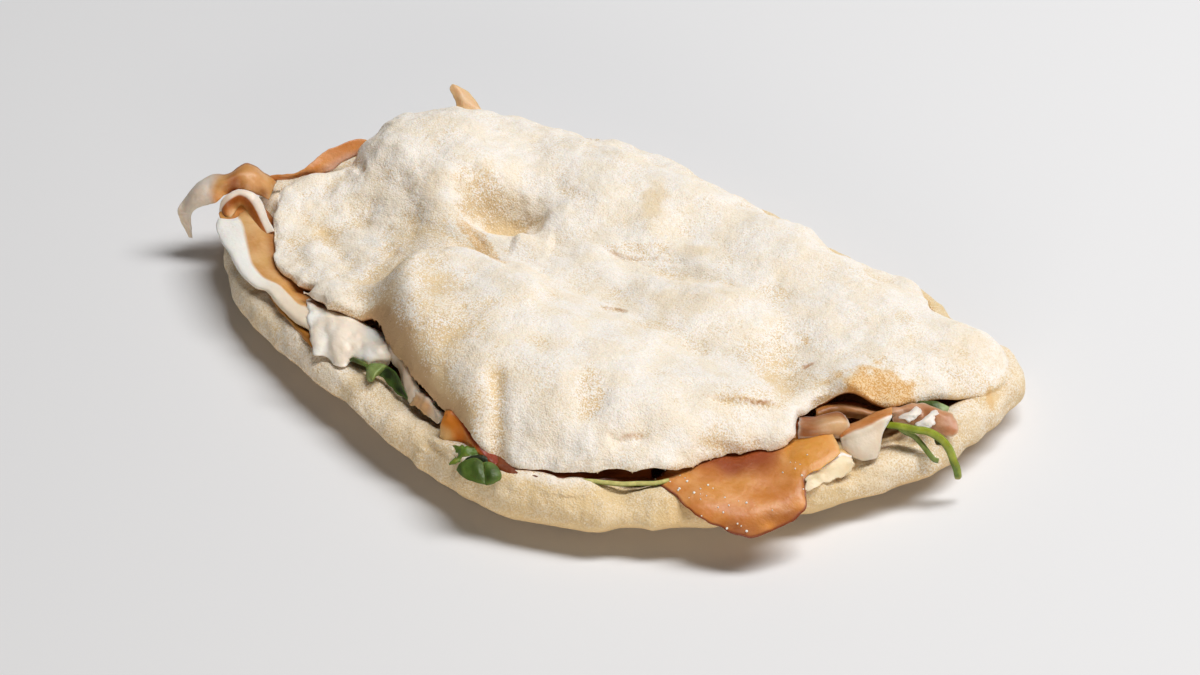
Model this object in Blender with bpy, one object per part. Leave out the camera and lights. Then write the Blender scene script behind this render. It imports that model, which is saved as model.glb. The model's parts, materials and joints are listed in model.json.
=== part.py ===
"""A smoked ham flatbread sandwich, at its real size.

A flour dusted flatbread is cut open along its front, its left end and its back left side. Its right tip and its
back right side stay whole and hold the two halves together. Slices of smoked ham with their rind of fat lie in
the pocket, hang out over the lower half, and carry a few leaves and stems of rocket.

Sizes are in millimetres, with X along the bread, its whole tip at +X, Y towards its back and Z up from the table.
"""

import math

import bmesh
import bpy
import numpy as np
from mathutils import Vector, noise
from mathutils.bvhtree import BVHTree

MM = 0.001

# Where the middle of the sandwich's box lies, which is moved to the origin
BOX_MIDDLE = (-13.5, 3.5)
GAP_BETWEEN_PIECES = 0.5
SETTLING_REACH = 2.4

# The bread's two halves, seen from above
BREAD_CENTRE = (-5.0, 0.0)
LOWER_RIM = (
    (126, 30), (121, 50), (97, 65), (60, 77), (14, 87), (-34, 91), (-80, 88), (-114, 71), (-131, 44), (-138, 18),
    (-139, -6), (-127, -26), (-106, -43), (-70, -60), (-32, -75), (6, -84), (40, -78), (73, -59), (99, -32), (119, -2),
)
UPPER_RIM = (
    (120, 25), (119, 42), (104, 56), (72, 69), (34, 79), (-16, 85), (-62, 84), (-96, 77), (-110, 63), (-115, 46),
    (-115, 31), (-122, 18), (-129, 6), (-118, -11), (-107, -26), (-90, -36), (-76, -41), (-61, -39), (-51, -46),
    (-33, -58), (-14, -67), (8, -76), (24, -73), (40, -65), (54, -56), (64, -41), (74, -33), (82, -24), (79, -16),
    (82, -8), (88, -4), (98, 0), (104, 7), (112, 16),
)
OUTLINE_STEPS = 720
RAGGED = 0.9
RAG_LENGTH = 7
MEAN_REACH = 60

# The lower half's profile, as a distance inside its rim and a height
LOWER_FLOOR = 10.5
LOWER_TOP_PROFILE = (
    (0.0, 9.5), (0.7, 12.2), (2.2, 14.4), (5.0, 15.8), (10.0, 16.0), (17.0, 14.0), (26.0, LOWER_FLOOR),
)
LOWER_UNDER_PROFILE = ((0.0, 9.5), (0.9, 7.2), (3.5, 5.0), (9.0, 3.0), (17.0, 1.1), (27.0, 0.0))
RESTING_INSET = 45.0

# Soft lumps all over: their length and height, and the draw they come from
LOWER_LUMPS = (16, 1.4, 3.1)
LUMPS_START = 4.0
UPPER_SWELLS = (24, 2.0, 7.7)
UPPER_LUMPS = (10, 1.3, 1.3)

# The upper half's crust, its level where nothing rises, and its humps and hollows: where, half length, half
# width, turn in degrees, height or depth, and how steep its sides are
CRUST = 4.6
EDGE_CRUST = 3.2
CRUST_THICKENS = 10.0
EDGE_ROUND = (1.0, 0.3)
TOP_START = 3.5
UNDER_START = 1.8
INNER_START = 9.0
PLATEAU = 25.5
HUMPS = {
    "front bubble": (-2, -38, 52, 31, -5, 11.0, 1.8),
    "bubble shoulder": (-36, -24, 28, 28, 10, 10.0, 4.5),
    "bubble brow": (46, -34, 32, 22, 30, 5.5, 1.5),
    "rear left hump": (-86, 44, 30, 25, 10, 9.0, 1.6),
    "rear ridge": (-28, 62, 48, 17, -5, 6.5, 1.4),
    "rear right ridge": (38, 54, 34, 15, -14, 3.5, 1.3),
    "middle swell": (28, 14, 26, 16, -10, 4.0, 1.3),
    "right plateau": (88, 30, 27, 18, -25, 2.0, 1.4),
    "opening lip": (92, 8, 14, 8, 15, 3.0, 1.2),
}
HOLLOWS = {
    "left shelf": (-102, -12, 36, 34, 25, 4.8, 2.2),
    "dent": (-53, 28, 13, 9, 25, 10.0, 1.7),
    "dent's trail": (-34, 24, 13, 7, 10, 3.0, 1.2),
    "crevice": (-43, 2, 13, 3.5, -25, 4.0, 1.0),
    "rear left notch": (-112, 26, 8, 7, 40, 4.0, 1.2),
    "yellow fold": (18, 27, 20, 4, 8, 2.2, 1.0),
    "valley to the right": (64, 4, 8, 20, 18, 4.0, 1.2),
    "front hollow": (24, -50, 7, 13, 10, 2.0, 1.0),
    "front dimple": (45, -52, 11, 4, 20, 1.6, 1.0),
    "rear dip": (8, 50, 13, 8, 0, 2.4, 1.0),
}
HUMP_JOIN = 4

# The gap under the upper half's edge, by direction from the bread's middle: below zero the halves are one
GAP = (
    (-180, 3.6), (-150, 4.8), (-136, 5.8), (-120, 4.8), (-80, 3.2), (-45, 3.8), (-25, 4.6), (-15, 5.2), (-8, 8.8),
    (1, 8.2), (7, 4.4), (12, -1.5), (18, -5.0), (60, -6.0), (82, -5.0), (96, 1.5), (115, 3.6), (150, 4.2), (170, 3.8),
)
# How far inside its edge the upper half takes to rise to its full height, by direction
RISE = (
    (-180, 12), (-165, 9), (-146, 10), (-128, 13), (-105, 12), (-80, 12), (-60, 16), (-30, 20), (-12, 9), (0, 9),
    (15, 22), (40, 26), (90, 20), (130, 17), (160, 14),
)
# How upright its side is there, by direction: 2 is a quarter circle, and more is steeper
UPRIGHT = ((-180, 2.0), (-158, 2.4), (-146, 3.6), (-125, 3.4), (-105, 2.6), (-75, 2.0), (60, 2.0), (150, 2.2))

RIM_POINTS = 150
UPPER_RINGS = 20
INNER_RINGS = 8
LOWER_RINGS = 5
LOWER_RING_POINTS = 80
RESTING_POINTS = 24
SKY = 90

HAM = 1.0
FAT = 1.3
LEAF = 0.5


def catmull(a, b, c, d, t):
    """A point between b and c on the smooth curve through a, b, c and d."""
    return 0.5 * ((2 * b) + (c - a) * t + (2 * a - 5 * b + 4 * c - d) * t * t + (3 * b - a - 3 * c + d) * t ** 3)


def smooth_points(points, count, closed=False):
    """Evenly spaced points along the smooth curve through the given ones."""
    given = np.array(points, float)
    if closed:
        padded = np.vstack([given[-1], given, given[:2]])
    else:
        padded = np.vstack([2 * given[0] - given[1], given, 2 * given[-1] - given[-2]])
    steps = np.linspace(0, 1, 24, endpoint=False)
    fine = [catmull(*padded[i - 1:i + 3], t) for i in range(1, len(padded) - 2) for t in steps]
    fine = np.array(fine + [padded[-2]])
    length = np.concatenate([[0], np.cumsum(np.linalg.norm(np.diff(fine, axis=0), axis=1))])
    places = np.linspace(0, length[-1], count, endpoint=not closed)
    return np.column_stack([np.interp(places, length, fine[:, k]) for k in range(fine.shape[1])])


def by_direction(table, angle):
    """The value in a direction in degrees, read smoothly from (direction, value) pairs that go once round."""
    start = table[0][0]
    place = (angle - start) % 360.0 + start
    ring_of_pairs = list(table) + [(start + 360.0, table[0][1])]
    for (a, value), (b, following) in zip(ring_of_pairs, ring_of_pairs[1:]):
        if place <= b:
            share = (place - a) / (b - a)
            return value + (following - value) * share * share * (3 - 2 * share)
    return table[0][1]


def lump(x, y, size, height, seed):
    """Soft uneven lumps of a given size and height."""
    return height * noise.noise(Vector((x / size, y / size, seed)))


def swell(x, y, shape):
    """A named hump or hollow's height at a place: full in its middle and nothing away from it."""
    middle_x, middle_y, length, width, turn, height, steepness = shape
    c, s = math.cos(math.radians(turn)), math.sin(math.radians(turn))
    dx, dy = x - middle_x, y - middle_y
    reach = ((dx * c + dy * s) / length) ** 2 + ((dy * c - dx * s) / width) ** 2
    return height * math.exp(-(reach ** steepness))


class Outline:
    """A closed rim seen from above, read by direction from the bread's middle."""

    def __init__(self, points, seed):
        loop = smooth_points(points, OUTLINE_STEPS, closed=True)
        ragged = np.array([1 + lump(x, y, RAG_LENGTH, RAGGED, seed) / MEAN_REACH for x, y in loop])
        loop = (loop - np.array(BREAD_CENTRE)) * ragged[:, None]
        angle = np.arctan2(loop[:, 1], loop[:, 0])
        order = np.argsort(angle)
        self.angle = angle[order]
        self.reach = np.hypot(loop[:, 0], loop[:, 1])[order]

    def radius(self, angle):
        """The rim's distance from the middle, in a direction in radians."""
        return float(np.interp(angle, self.angle, self.reach, period=2 * math.pi))

    def place(self, angle, inset):
        """The place at a distance inside the rim, in a direction."""
        reach = max(0.0, self.radius(angle) - inset)
        return BREAD_CENTRE[0] + reach * math.cos(angle), BREAD_CENTRE[1] + reach * math.sin(angle)

    def directions(self, count):
        """Directions that are evenly spaced along the rim."""
        angles = np.linspace(-math.pi, math.pi, 2 * OUTLINE_STEPS + 1)
        places = np.array([self.place(a, 0.0) for a in angles])
        length = np.concatenate([[0], np.cumsum(np.linalg.norm(np.diff(places, axis=0), axis=1))])
        return np.interp(np.arange(count) / count * length[-1], length, angles)

    def inset(self, x, y):
        """How far inside the rim a place is, measured towards the middle."""
        dx, dy = x - BREAD_CENTRE[0], y - BREAD_CENTRE[1]
        return self.radius(math.atan2(dy, dx)) - math.hypot(dx, dy)


LOWER = Outline(LOWER_RIM, 4.4)
UPPER = Outline(UPPER_RIM, 9.2)


def profile(table, inset):
    """A height read from (inset, height) pairs."""
    return float(np.interp(inset, [a for a, _ in table], [b for _, b in table]))


def lower_top(x, y):
    """The height of the lower half's upper surface."""
    inset = max(0.0, LOWER.inset(x, y))
    return profile(LOWER_TOP_PROFILE, inset) + lump(x, y, *LOWER_LUMPS) * min(1.0, inset / LUMPS_START)


def free_height(x, y):
    """The upper half's height away from its edge."""
    humps = sum(swell(x, y, shape) ** HUMP_JOIN for shape in HUMPS.values()) ** (1 / HUMP_JOIN)
    hollows = sum(swell(x, y, shape) for shape in HOLLOWS.values())
    return PLATEAU + humps - hollows + lump(x, y, *UPPER_SWELLS) + lump(x, y, *UPPER_LUMPS)


def edge_height(x, y):
    """The height of the middle of the upper half's edge, in the direction of a place."""
    angle = math.atan2(y - BREAD_CENTRE[1], x - BREAD_CENTRE[0])
    return lower_top(*UPPER.place(angle, 0.0)) + by_direction(GAP, math.degrees(angle)) + EDGE_CRUST / 2


def upper_top(x, y):
    """The height of the upper half's outer surface."""
    angle = math.degrees(math.atan2(y - BREAD_CENTRE[1], x - BREAD_CENTRE[0]))
    share = min(1.0, max(0.0, UPPER.inset(x, y) / by_direction(RISE, angle)))
    upright = by_direction(UPRIGHT, angle)
    edge = edge_height(x, y) + EDGE_CRUST / 2
    return edge + (free_height(x, y) - edge) * (1 - (1 - share) ** upright) ** (1 / upright)


def upper_under(x, y):
    """The height of the upper half's inner surface."""
    share = min(1.0, max(0.0, UPPER.inset(x, y) / CRUST_THICKENS))
    return upper_top(x, y) - EDGE_CRUST - (CRUST - EDGE_CRUST) * share


def material(name, colour, roughness):
    """A plain material."""
    made = bpy.data.materials.new(name)
    made.use_nodes = True
    shader = made.node_tree.nodes["Principled BSDF"]
    shader.inputs["Base Color"].default_value = (*colour, 1.0)
    shader.inputs["Roughness"].default_value = roughness
    shader.inputs["Metallic"].default_value = 0.0
    made.diffuse_color = (*colour, 1.0)
    return made


def new_object(name, points, faces, finish):
    """A smooth mesh object from points in millimetres."""
    mesh = bpy.data.meshes.new(name)
    mesh.from_pydata([tuple(float(c) * MM for c in p) for p in points], [], faces)
    mesh.materials.append(finish)
    mesh.shade_smooth()
    made = bpy.data.objects.new(name, mesh)
    bpy.context.collection.objects.link(made)
    return made


def zip_rings(outer, inner):
    """Triangles between two closed rings of vertex numbers that may differ in count."""
    faces = []
    i = j = 0
    while i < len(outer) or j < len(inner):
        if j >= len(inner) or (i < len(outer) and (i + 1) / len(outer) <= (j + 1) / len(inner)):
            faces.append((outer[i % len(outer)], outer[(i + 1) % len(outer)], inner[j % len(inner)]))
            i += 1
        else:
            faces.append((outer[i % len(outer)], inner[(j + 1) % len(inner)], inner[j % len(inner)]))
            j += 1
    return faces


def ring(outline, angles, inset_of, height_of):
    """One ring of points inside an outline."""
    places = [outline.place(angle, inset_of(angle)) for angle in angles]
    return [(x, y, height_of(x, y)) for x, y in places]


def scaled_rings(outline, first_inset, count, rim_points, height_of):
    """Rings from an inset near the rim to the middle, each with fewer points than the one outside it."""
    rings = []
    for k in range(count, 0, -1):
        share = k / count
        angles = outline.directions(max(6, round(rim_points * share)))

        def inset_of(angle, share=share):
            reach = outline.radius(angle)
            return reach - (reach - first_inset) * share

        rings.append(ring(outline, angles, inset_of, height_of))
    return rings


def disc_solid(name, top_rings, under_rings, finish):
    """A closed disc from rings that run from one shared rim to its middle, on its upper and its lower side."""
    points, faces = [], []

    def add(ring_points):
        points.extend(ring_points)
        return list(range(len(points) - len(ring_points), len(points)))

    rim = add(top_rings[0])
    for side, under in ((top_rings[1:], False), (under_rings[1:], True)):
        outer, found = rim, []
        for ring_points in side:
            inner = add(ring_points)
            found += zip_rings(outer, inner)
            outer = inner
        hub = add([tuple(np.mean([points[k] for k in outer], axis=0))])[0]
        found += [(outer[k], outer[(k + 1) % len(outer)], hub) for k in range(len(outer))]
        faces += [face[::-1] for face in found] if under else found
    return new_object(name, points, faces, finish)


def lower_half(finish):
    """The bread's lower half: a shallow boat with a round rim that lifts off the table."""
    angles = LOWER.directions(RIM_POINTS)
    top = [ring(LOWER, angles, lambda a, d=d: d, lower_top) for d, _ in LOWER_TOP_PROFILE[:-1]]
    top += scaled_rings(LOWER, LOWER_TOP_PROFILE[-1][0], LOWER_RINGS, LOWER_RING_POINTS, lower_top)
    under = [top[0]]
    for inset, height in LOWER_UNDER_PROFILE[1:]:
        spaced = angles[::2] if inset > LUMPS_START else angles
        under.append(ring(LOWER, spaced, lambda a, d=inset: d, lambda x, y, z=height: z))
    under += scaled_rings(LOWER, RESTING_INSET, 1, RESTING_POINTS, lambda x, y: 0.0)
    return disc_solid("flatbread", top, under, finish)


def upper_half(finish):
    """The bread's upper half: a puffed crust with its bubble, humps, hollows and torn edge."""
    angles = UPPER.directions(RIM_POINTS)
    rim = ring(UPPER, angles, lambda a: 0.0, edge_height)
    inset, drop = EDGE_ROUND
    top = [rim, ring(UPPER, angles, lambda a: inset, lambda x, y: upper_top(x, y) - drop)]
    top += scaled_rings(UPPER, TOP_START, UPPER_RINGS, RIM_POINTS, upper_top)
    under = [rim, ring(UPPER, angles[::2], lambda a: UNDER_START, upper_under)]
    under += scaled_rings(UPPER, INNER_START, INNER_RINGS, RIM_POINTS // 2, upper_under)
    return disc_solid("upper_half", top, under, finish)


def surface_tree(made):
    """A solid's surface, to be probed by rays, in millimetres."""
    mesh = made.data
    return BVHTree.FromPolygons([v.co / MM for v in mesh.vertices], [tuple(p.vertices) for p in mesh.polygons])


class Pocket:
    """The space between the bread's halves, and what lies in it so far."""

    def __init__(self, lower, upper):
        self.bread = surface_tree(lower)
        self.roof = surface_tree(upper)
        self.layers = [self.bread]

    def ceiling(self, x, y):
        """The height of the roof over a place, or None where it is open to the sky."""
        base = self.bread.ray_cast(Vector((x, y, SKY)), Vector((0, 0, -1)))[0]
        start = base.z + 0.05 if base else 0.0
        hit = self.roof.ray_cast(Vector((x, y, start)), Vector((0, 0, 1)))[0]
        return hit.z if hit else None

    def floor(self, x, y):
        """The height of the highest thing that lies under the roof at a place, or None past the bread's rim."""
        ceiling = self.ceiling(x, y)
        start = Vector((x, y, SKY if ceiling is None else ceiling - 0.01))
        hits = [tree.ray_cast(start, Vector((0, 0, -1)))[0] for tree in self.layers]
        heights = [hit.z for hit in hits if hit]
        return max(heights) if heights else None

    def clear_height(self, point, half):
        """A point's height, moved so that it clears what is under and over it."""
        x, y, z = point
        turns = [math.radians(45 * k) for k in range(8)]
        around = [(x + SETTLING_REACH * math.cos(t), y + SETTLING_REACH * math.sin(t)) for t in turns] + [(x, y)]
        floors = [f for f in (self.floor(*place) for place in around) if f is not None]
        ceilings = [c for c in (self.ceiling(*place) for place in around) if c is not None]
        room = GAP_BETWEEN_PIECES + half
        lowest = max(floors) + room if floors else -math.inf
        highest = min(ceilings) - room if ceilings else math.inf
        if lowest > highest:
            return (lowest + highest) / 2
        return min(max(z, lowest), highest)


def loft(guides, along, across, pocket, lift):
    """A grid of points on the smooth surface through guide curves. A guide point without a height is laid down."""
    rows = []
    for guide in guides:
        points = [p if len(p) == 3 else (*p, (pocket.floor(*p) or 0.0) + lift) for p in guide]
        rows.append(smooth_points(points, along))
    columns = [smooth_points([row[i] for row in rows], across) for i in range(along)]
    return np.array(columns)


def grid_normals(grid):
    """The surface's direction at each point of a grid."""
    normals = np.cross(np.gradient(grid, axis=0), np.gradient(grid, axis=1))
    return normals / np.maximum(np.linalg.norm(normals, axis=2, keepdims=True), 1e-9)


def sheet(name, guides, finish, pocket, thickness=HAM, along=14, across=8, ruffle=0.5, ruffle_size=9):
    """A thin wavy slice or leaf: a closed solid round the surface through its guide curves."""
    grid = loft(guides, along, across, pocket, GAP_BETWEEN_PIECES + thickness / 2)
    waves = np.array([[lump(p[0] + p[2], p[1], ruffle_size, ruffle, len(name)) for p in column] for column in grid])
    grid = grid + grid_normals(grid) * waves[:, :, None]
    for column in grid:
        for point in column:
            point[2] = pocket.clear_height(point, thickness / 2)
    normals = grid_normals(grid)
    if normals[:, :, 2].mean() < 0:
        grid, normals = grid[:, ::-1], -normals[:, ::-1]
    sides = [grid + normals * thickness / 2, grid - normals * thickness / 2]
    points = [tuple(p) for side in sides for column in side for p in column]
    layer = along * across

    def corner(i, j, side=0):
        return side * layer + i * across + j

    faces = []
    for i in range(along - 1):
        for j in range(across - 1):
            a, b, c, d = corner(i, j), corner(i + 1, j), corner(i + 1, j + 1), corner(i, j + 1)
            for face in ((a, b, c), (a, c, d)):
                faces.append(face)
                faces.append(tuple(k + layer for k in face[::-1]))
    border = [(i, 0) for i in range(along)] + [(along - 1, j) for j in range(1, across)]
    border += [(i, across - 1) for i in range(along - 2, -1, -1)] + [(0, j) for j in range(across - 2, 0, -1)]
    for (i, j), (k, m) in zip(border, border[1:] + border[:1]):
        a, b, c, d = corner(i, j), corner(k, m), corner(k, m, 1), corner(i, j, 1)
        faces.extend([(a, d, c), (a, c, b)])
    made = new_object(name, points, faces, finish)
    pocket.layers.append(surface_tree(made))
    return made


def stem(name, points, start, end, finish, count=13):
    """A tapering stem along a smooth curve."""
    curve = bpy.data.curves.new(name, "CURVE")
    curve.dimensions = "3D"
    curve.bevel_depth = MM / 2
    curve.bevel_resolution = 2
    curve.use_fill_caps = True
    spline = curve.splines.new("POLY")
    places = smooth_points(points, count)
    spline.points.add(count - 1)
    for k, (point, place) in enumerate(zip(spline.points, places)):
        point.co = (*(float(c) * MM for c in place), 1.0)
        point.radius = start + (end - start) * k / (count - 1)
    curve.materials.append(finish)
    made = bpy.data.objects.new(name, curve)
    bpy.context.collection.objects.link(made)
    return made


def ham_slices(pocket, ham, fat):
    """The slices of smoked ham that show round the bread's edge and run on into the pocket."""
    sheet("ham_slice_left", [
        [(-86, -47), (-102, -38), (-114, -32), (-126, -24), (-135, -14), (-138, -4)],
        [(-80, -36), (-95, -30), (-106, -22), (-116, -13), (-124, -4), (-127, 2)],
        [(-62, -18), (-76, -12), (-88, -4), (-98, 4), (-106, 12), (-112, 18)],
        [(-40, 2), (-52, 8), (-64, 16), (-74, 24), (-82, 32), (-88, 38)],
    ], ham, pocket, along=15, across=9, ruffle=0.8)
    sheet("ham_slice_front", [
        [(-21, -66), (-13, -71), (-3, -75), (10, -78), (26, -76), (42, -69), (52, -61)],
        [(-24, -58), (-14, -64), (-2, -66), (10, -68), (24, -66), (38, -60), (48, -52)],
        [(-34, -32), (-18, -36), (-4, -38), (10, -38), (22, -36), (34, -32), (42, -28)],
    ], ham, pocket, along=18, across=8, ruffle=0.8)
    sheet("ham_slice_tongue", [
        [(53, -58, 18.0), (62, -62, 14.0), (71, -61, 9.4), (80, -57, 6.2), (88, -51, 7.4), (94, -42, 11.0)],
        [(54, -54, 18.8), (62, -55, 17.4), (70, -52, 16.0), (79, -47, 14.0), (87, -41, 13.6), (95, -32, 16.0)],
        [(54, -48), (60, -45), (67, -41), (75, -36), (85, -28, 18.0), (95, -21, 18.4)],
        [(46, -34), (53, -31), (61, -27), (70, -23), (80, -17, 16.4), (89, -13, 19.2)],
        [(28, -6), (36, -2), (46, 2), (56, 6), (66, 10), (74, 12)],
    ], ham, pocket, along=14, across=14, ruffle=0.7)
    sheet("ham_roll_inside", [
        [(68, 2, 17.0), (74, 3, 17.0), (80, 4, 17.0), (85, 4, 16.6)],
        [(71, -5, 17.4), (76, -4, 18.4), (81, -2, 19.0), (86, -1, 18.2)],
        [(75, -10, 17.0), (79, -8, 18.6), (84, -6, 19.4), (87, -5, 18.4)],
        [(77, -13, 16.0), (81, -11, 17.0), (85, -9, 17.6), (88, -8, 17.0)],
    ], ham, pocket, along=7, across=8, ruffle=0.2)
    sheet("ham_fold_right", [
        [(97, -19, 15.6), (102, -16, 15.4), (105, -12, 16.0)],
        [(92, -14, 17.4), (99, -10, 18.6), (104, -6, 20.4)],
        [(90, -7, 17.4), (98, -3, 18.8), (105, 0, 20.6)],
        [(88, 4), (95, 6), (102, 9)],
        [(86, 12), (92, 14), (99, 16)],
    ], fat, pocket, thickness=FAT, along=7, across=10, ruffle=0.2)
    sheet("ham_flap_right", [
        [(106, -4, 17.6), (111, -1, 18.0), (116, 1, 17.4), (121, 5, 16.8)],
        [(105, 2, 19.4), (110, 5, 19.4), (115, 8, 19.0), (119, 10, 18.0)],
        [(103, 9), (107, 11), (111, 13), (114, 15)],
    ], ham, pocket, along=9, across=7, ruffle=0.6, ruffle_size=4)
    sheet("ham_slice_back", [
        [(-109, 91, 24.0), (-104, 89, 25.4), (-96, 86, 23.4)],
        [(-103, 84, 20.6), (-98, 83, 21.0), (-90, 82, 20.8)],
        [(-88, 66), (-82, 65), (-76, 64)],
        [(-66, 44), (-60, 44), (-54, 44)],
    ], ham, pocket, along=6, across=10, ruffle=0.4)


def ham_edges(pocket, ham, fat):
    """The loops, curls, strips and shreds that stand at the slit."""
    sheet("ham_loop_left", [
        [(-141, -9, 16.4), (-141, -7, 19.6), (-138, -5, 22.0), (-133, -3, 20.6), (-129, -3, 18.4), (-126, -1, 17.4)],
        [(-138, 2, 16.6), (-138, 3, 19.4), (-136, 4, 21.4), (-133, 5, 20.4), (-130, 6, 18.6), (-127, 7, 17.6)],
    ], ham, pocket, along=13, across=4, ruffle=0.2)
    sheet("ham_curl_left", [
        [(-128, 16, 18.8), (-133, 14, 25.0), (-140, 12, 26.6), (-145, 7, 25.4), (-150, 3, 23.0), (-155, -4, 17.5),
         (-154, -9, 12.0), (-150, -13, 7.0)],
        [(-130, 8, 19.4), (-135, 6, 24.0), (-141, 3, 23.0), (-145, -3, 20.4), (-148, -7, 17.4), (-152, -9, 14.2),
         (-152, -12, 10.5), (-149, -14, 6.6)],
    ], fat, pocket, along=20, across=4, ruffle=0.5, ruffle_size=5)
    sheet("ham_strip_rear_left", [
        [(-132, 17, 17.4), (-128, 23, 17.6), (-124, 31, 17.6), (-122, 38, 17.6), (-119, 46, 17.6)],
        [(-133, 18, 20.6), (-129, 23, 21.6), (-125, 30, 24.0), (-122, 36, 25.6), (-119, 44, 26.0)],
    ], ham, pocket, along=12, across=4, ruffle=0.4)
    sheet("ham_fat_fold_left", [
        [(-71, -55, 16.6), (-65, -58, 16.4), (-58, -58, 17.0), (-51, -56, 17.8), (-45, -54, 18.4)],
        [(-75, -49, 18.0), (-68, -51, 19.2), (-60, -52, 20.0), (-53, -51, 20.4), (-46, -51, 20.2)],
        [(-80, -42, 17.6), (-72, -45, 18.2), (-64, -45, 18.4), (-55, -46, 18.8), (-48, -47, 18.8)],
        [(-76, -30), (-68, -32), (-60, -32), (-52, -34), (-46, -36)],
    ], fat, pocket, along=11, across=9, ruffle=0.7, ruffle_size=5)
    sheet("ham_shreds_left", [
        [(-44, -53, 19.4), (-39, -57, 19.0), (-33, -60, 18.8), (-27, -63, 18.2), (-21, -66, 18.0)],
        [(-43, -48, 18.8), (-37, -51, 18.6), (-31, -55, 18.4), (-25, -58, 18.0), (-20, -61, 17.6)],
        [(-40, -38), (-33, -41), (-27, -44), (-21, -46), (-16, -48)],
    ], fat, pocket, along=13, across=6, ruffle=1.0, ruffle_size=3.5)


def rocket(pocket, leaf, bright):
    """The leaves and stems of rocket at the slit."""
    sheet("rocket_leaf_left", [
        [(-52, -58, 18.0), (-49, -61, 16.6), (-44, -62, 16.6), (-38, -63, 16.8), (-34, -64, 16.6)],
        [(-51, -56, 19.6), (-47, -58, 19.4), (-43, -58, 19.2), (-38, -60, 19.0), (-33, -62, 17.6)],
        [(-50, -54, 20.0), (-46, -54, 20.6), (-42, -55, 20.6), (-37, -57, 20.0), (-33, -60, 18.2)],
    ], leaf, pocket, thickness=LEAF, along=9, across=6, ruffle=0.4, ruffle_size=4)
    sheet("rocket_leaf_front", [
        [(-3, -82, 16.2), (1, -84, 14.6), (6, -84, 14.2), (10, -81, 15.4)],
        [(-3, -80, 17.0), (1, -80, 17.0), (6, -79, 17.2), (10, -79, 16.8)],
        [(-2, -78, 17.8), (2, -76, 18.6), (6, -76, 18.8), (10, -77, 17.8)],
    ], leaf, pocket, thickness=LEAF, along=8, across=6, ruffle=0.5, ruffle_size=4)
    sheet("rocket_leaf_folded", [
        [(-9, -79, 16.4), (-8, -75, 18.0), (-5, -73, 19.2), (0, -73, 19.0)],
        [(-6, -81, 16.2), (-4, -78, 17.0), (-2, -76, 17.8), (1, -75, 18.2)],
    ], bright, pocket, thickness=LEAF, along=7, across=4, ruffle=0.5, ruffle_size=3)
    sheet("rocket_leaf_inside", [
        [(106, 6, 20.6), (110, 8, 21.0), (114, 11, 20.4), (117, 13, 19.4)],
        [(105, 9, 20.4), (109, 11, 20.8), (113, 13, 20.4), (116, 15, 19.6)],
    ], leaf, pocket, thickness=LEAF, along=7, across=4, ruffle=0.3, ruffle_size=3)
    stem("rocket_stem_front", [(28, -74, 18.2), (36, -71, 18.6), (46, -66, 18.6), (53, -61, 18.6)], 1.2, 1.5, bright)
    stem("rocket_stem_right", [
        (100, -5, 22.6), (107, -5, 23.0), (113, -4, 22.0), (119, -4, 19.8), (123, -5, 16.0), (126, -5, 11.0),
        (127, -4, 7.5),
    ], 1.6, 2.6, bright)
    stem("rocket_stem_small", [(107, -9, 19.4), (111, -9, 19.2), (115, -10, 17.8), (118, -11, 15.8)], 1.2, 1.7, leaf)


def join_halves(lower, upper):
    """Joins the halves where they touch, at the tip and along the back right side."""
    union = lower.modifiers.new("halves", "BOOLEAN")
    union.operation = "UNION"
    union.solver = "EXACT"
    union.object = upper
    with bpy.context.temp_override(object=lower, active_object=lower):
        bpy.ops.object.modifier_apply(modifier=union.name)
    bpy.data.objects.remove(upper)
    mesh = bmesh.new()
    mesh.from_mesh(lower.data)
    bmesh.ops.triangulate(mesh, faces=mesh.faces)
    mesh.to_mesh(lower.data)
    mesh.free()


def main():
    for old in list(bpy.data.objects):
        bpy.data.objects.remove(old)
    crust = material("flatbread_crust", (0.80, 0.68, 0.50), 0.85)
    ham = material("smoked_ham", (0.55, 0.22, 0.10), 0.35)
    fat = material("ham_fat", (0.80, 0.70, 0.60), 0.4)
    leaf = material("rocket_leaf", (0.05, 0.09, 0.01), 0.45)
    bright = material("rocket_stem", (0.22, 0.27, 0.03), 0.4)
    lower, upper = lower_half(crust), upper_half(crust)
    pocket = Pocket(lower, upper)
    ham_slices(pocket, ham, fat)
    ham_edges(pocket, ham, fat)
    rocket(pocket, leaf, bright)
    join_halves(lower, upper)
    sandwich = bpy.data.objects.new("sandwich", None)
    bpy.context.collection.objects.link(sandwich)
    for piece in list(bpy.data.objects):
        if piece is not sandwich:
            piece.parent = sandwich
    sandwich.location = (-BOX_MIDDLE[0] * MM, -BOX_MIDDLE[1] * MM, 0.0)


main()
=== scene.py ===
# %% [markdown]
# # A smoked ham flatbread sandwich
# The sandwich is a puffed flatbread that was dusted with flour, cut open along its front and filled with thin
# slices of smoked ham and some rocket. The frame holds its plain solids at their real size. This lesson gives each
# of them its real surface: the bread's lumps, cracks and torn edge, the ham's folds and rind of fat, and the
# rocket's leaves and stems.

# %% Load the frame
import json
import math
import random

import bpy
import numpy as np
from mathutils import Matrix, Vector
from mathutils.bvhtree import BVHTree

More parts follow.
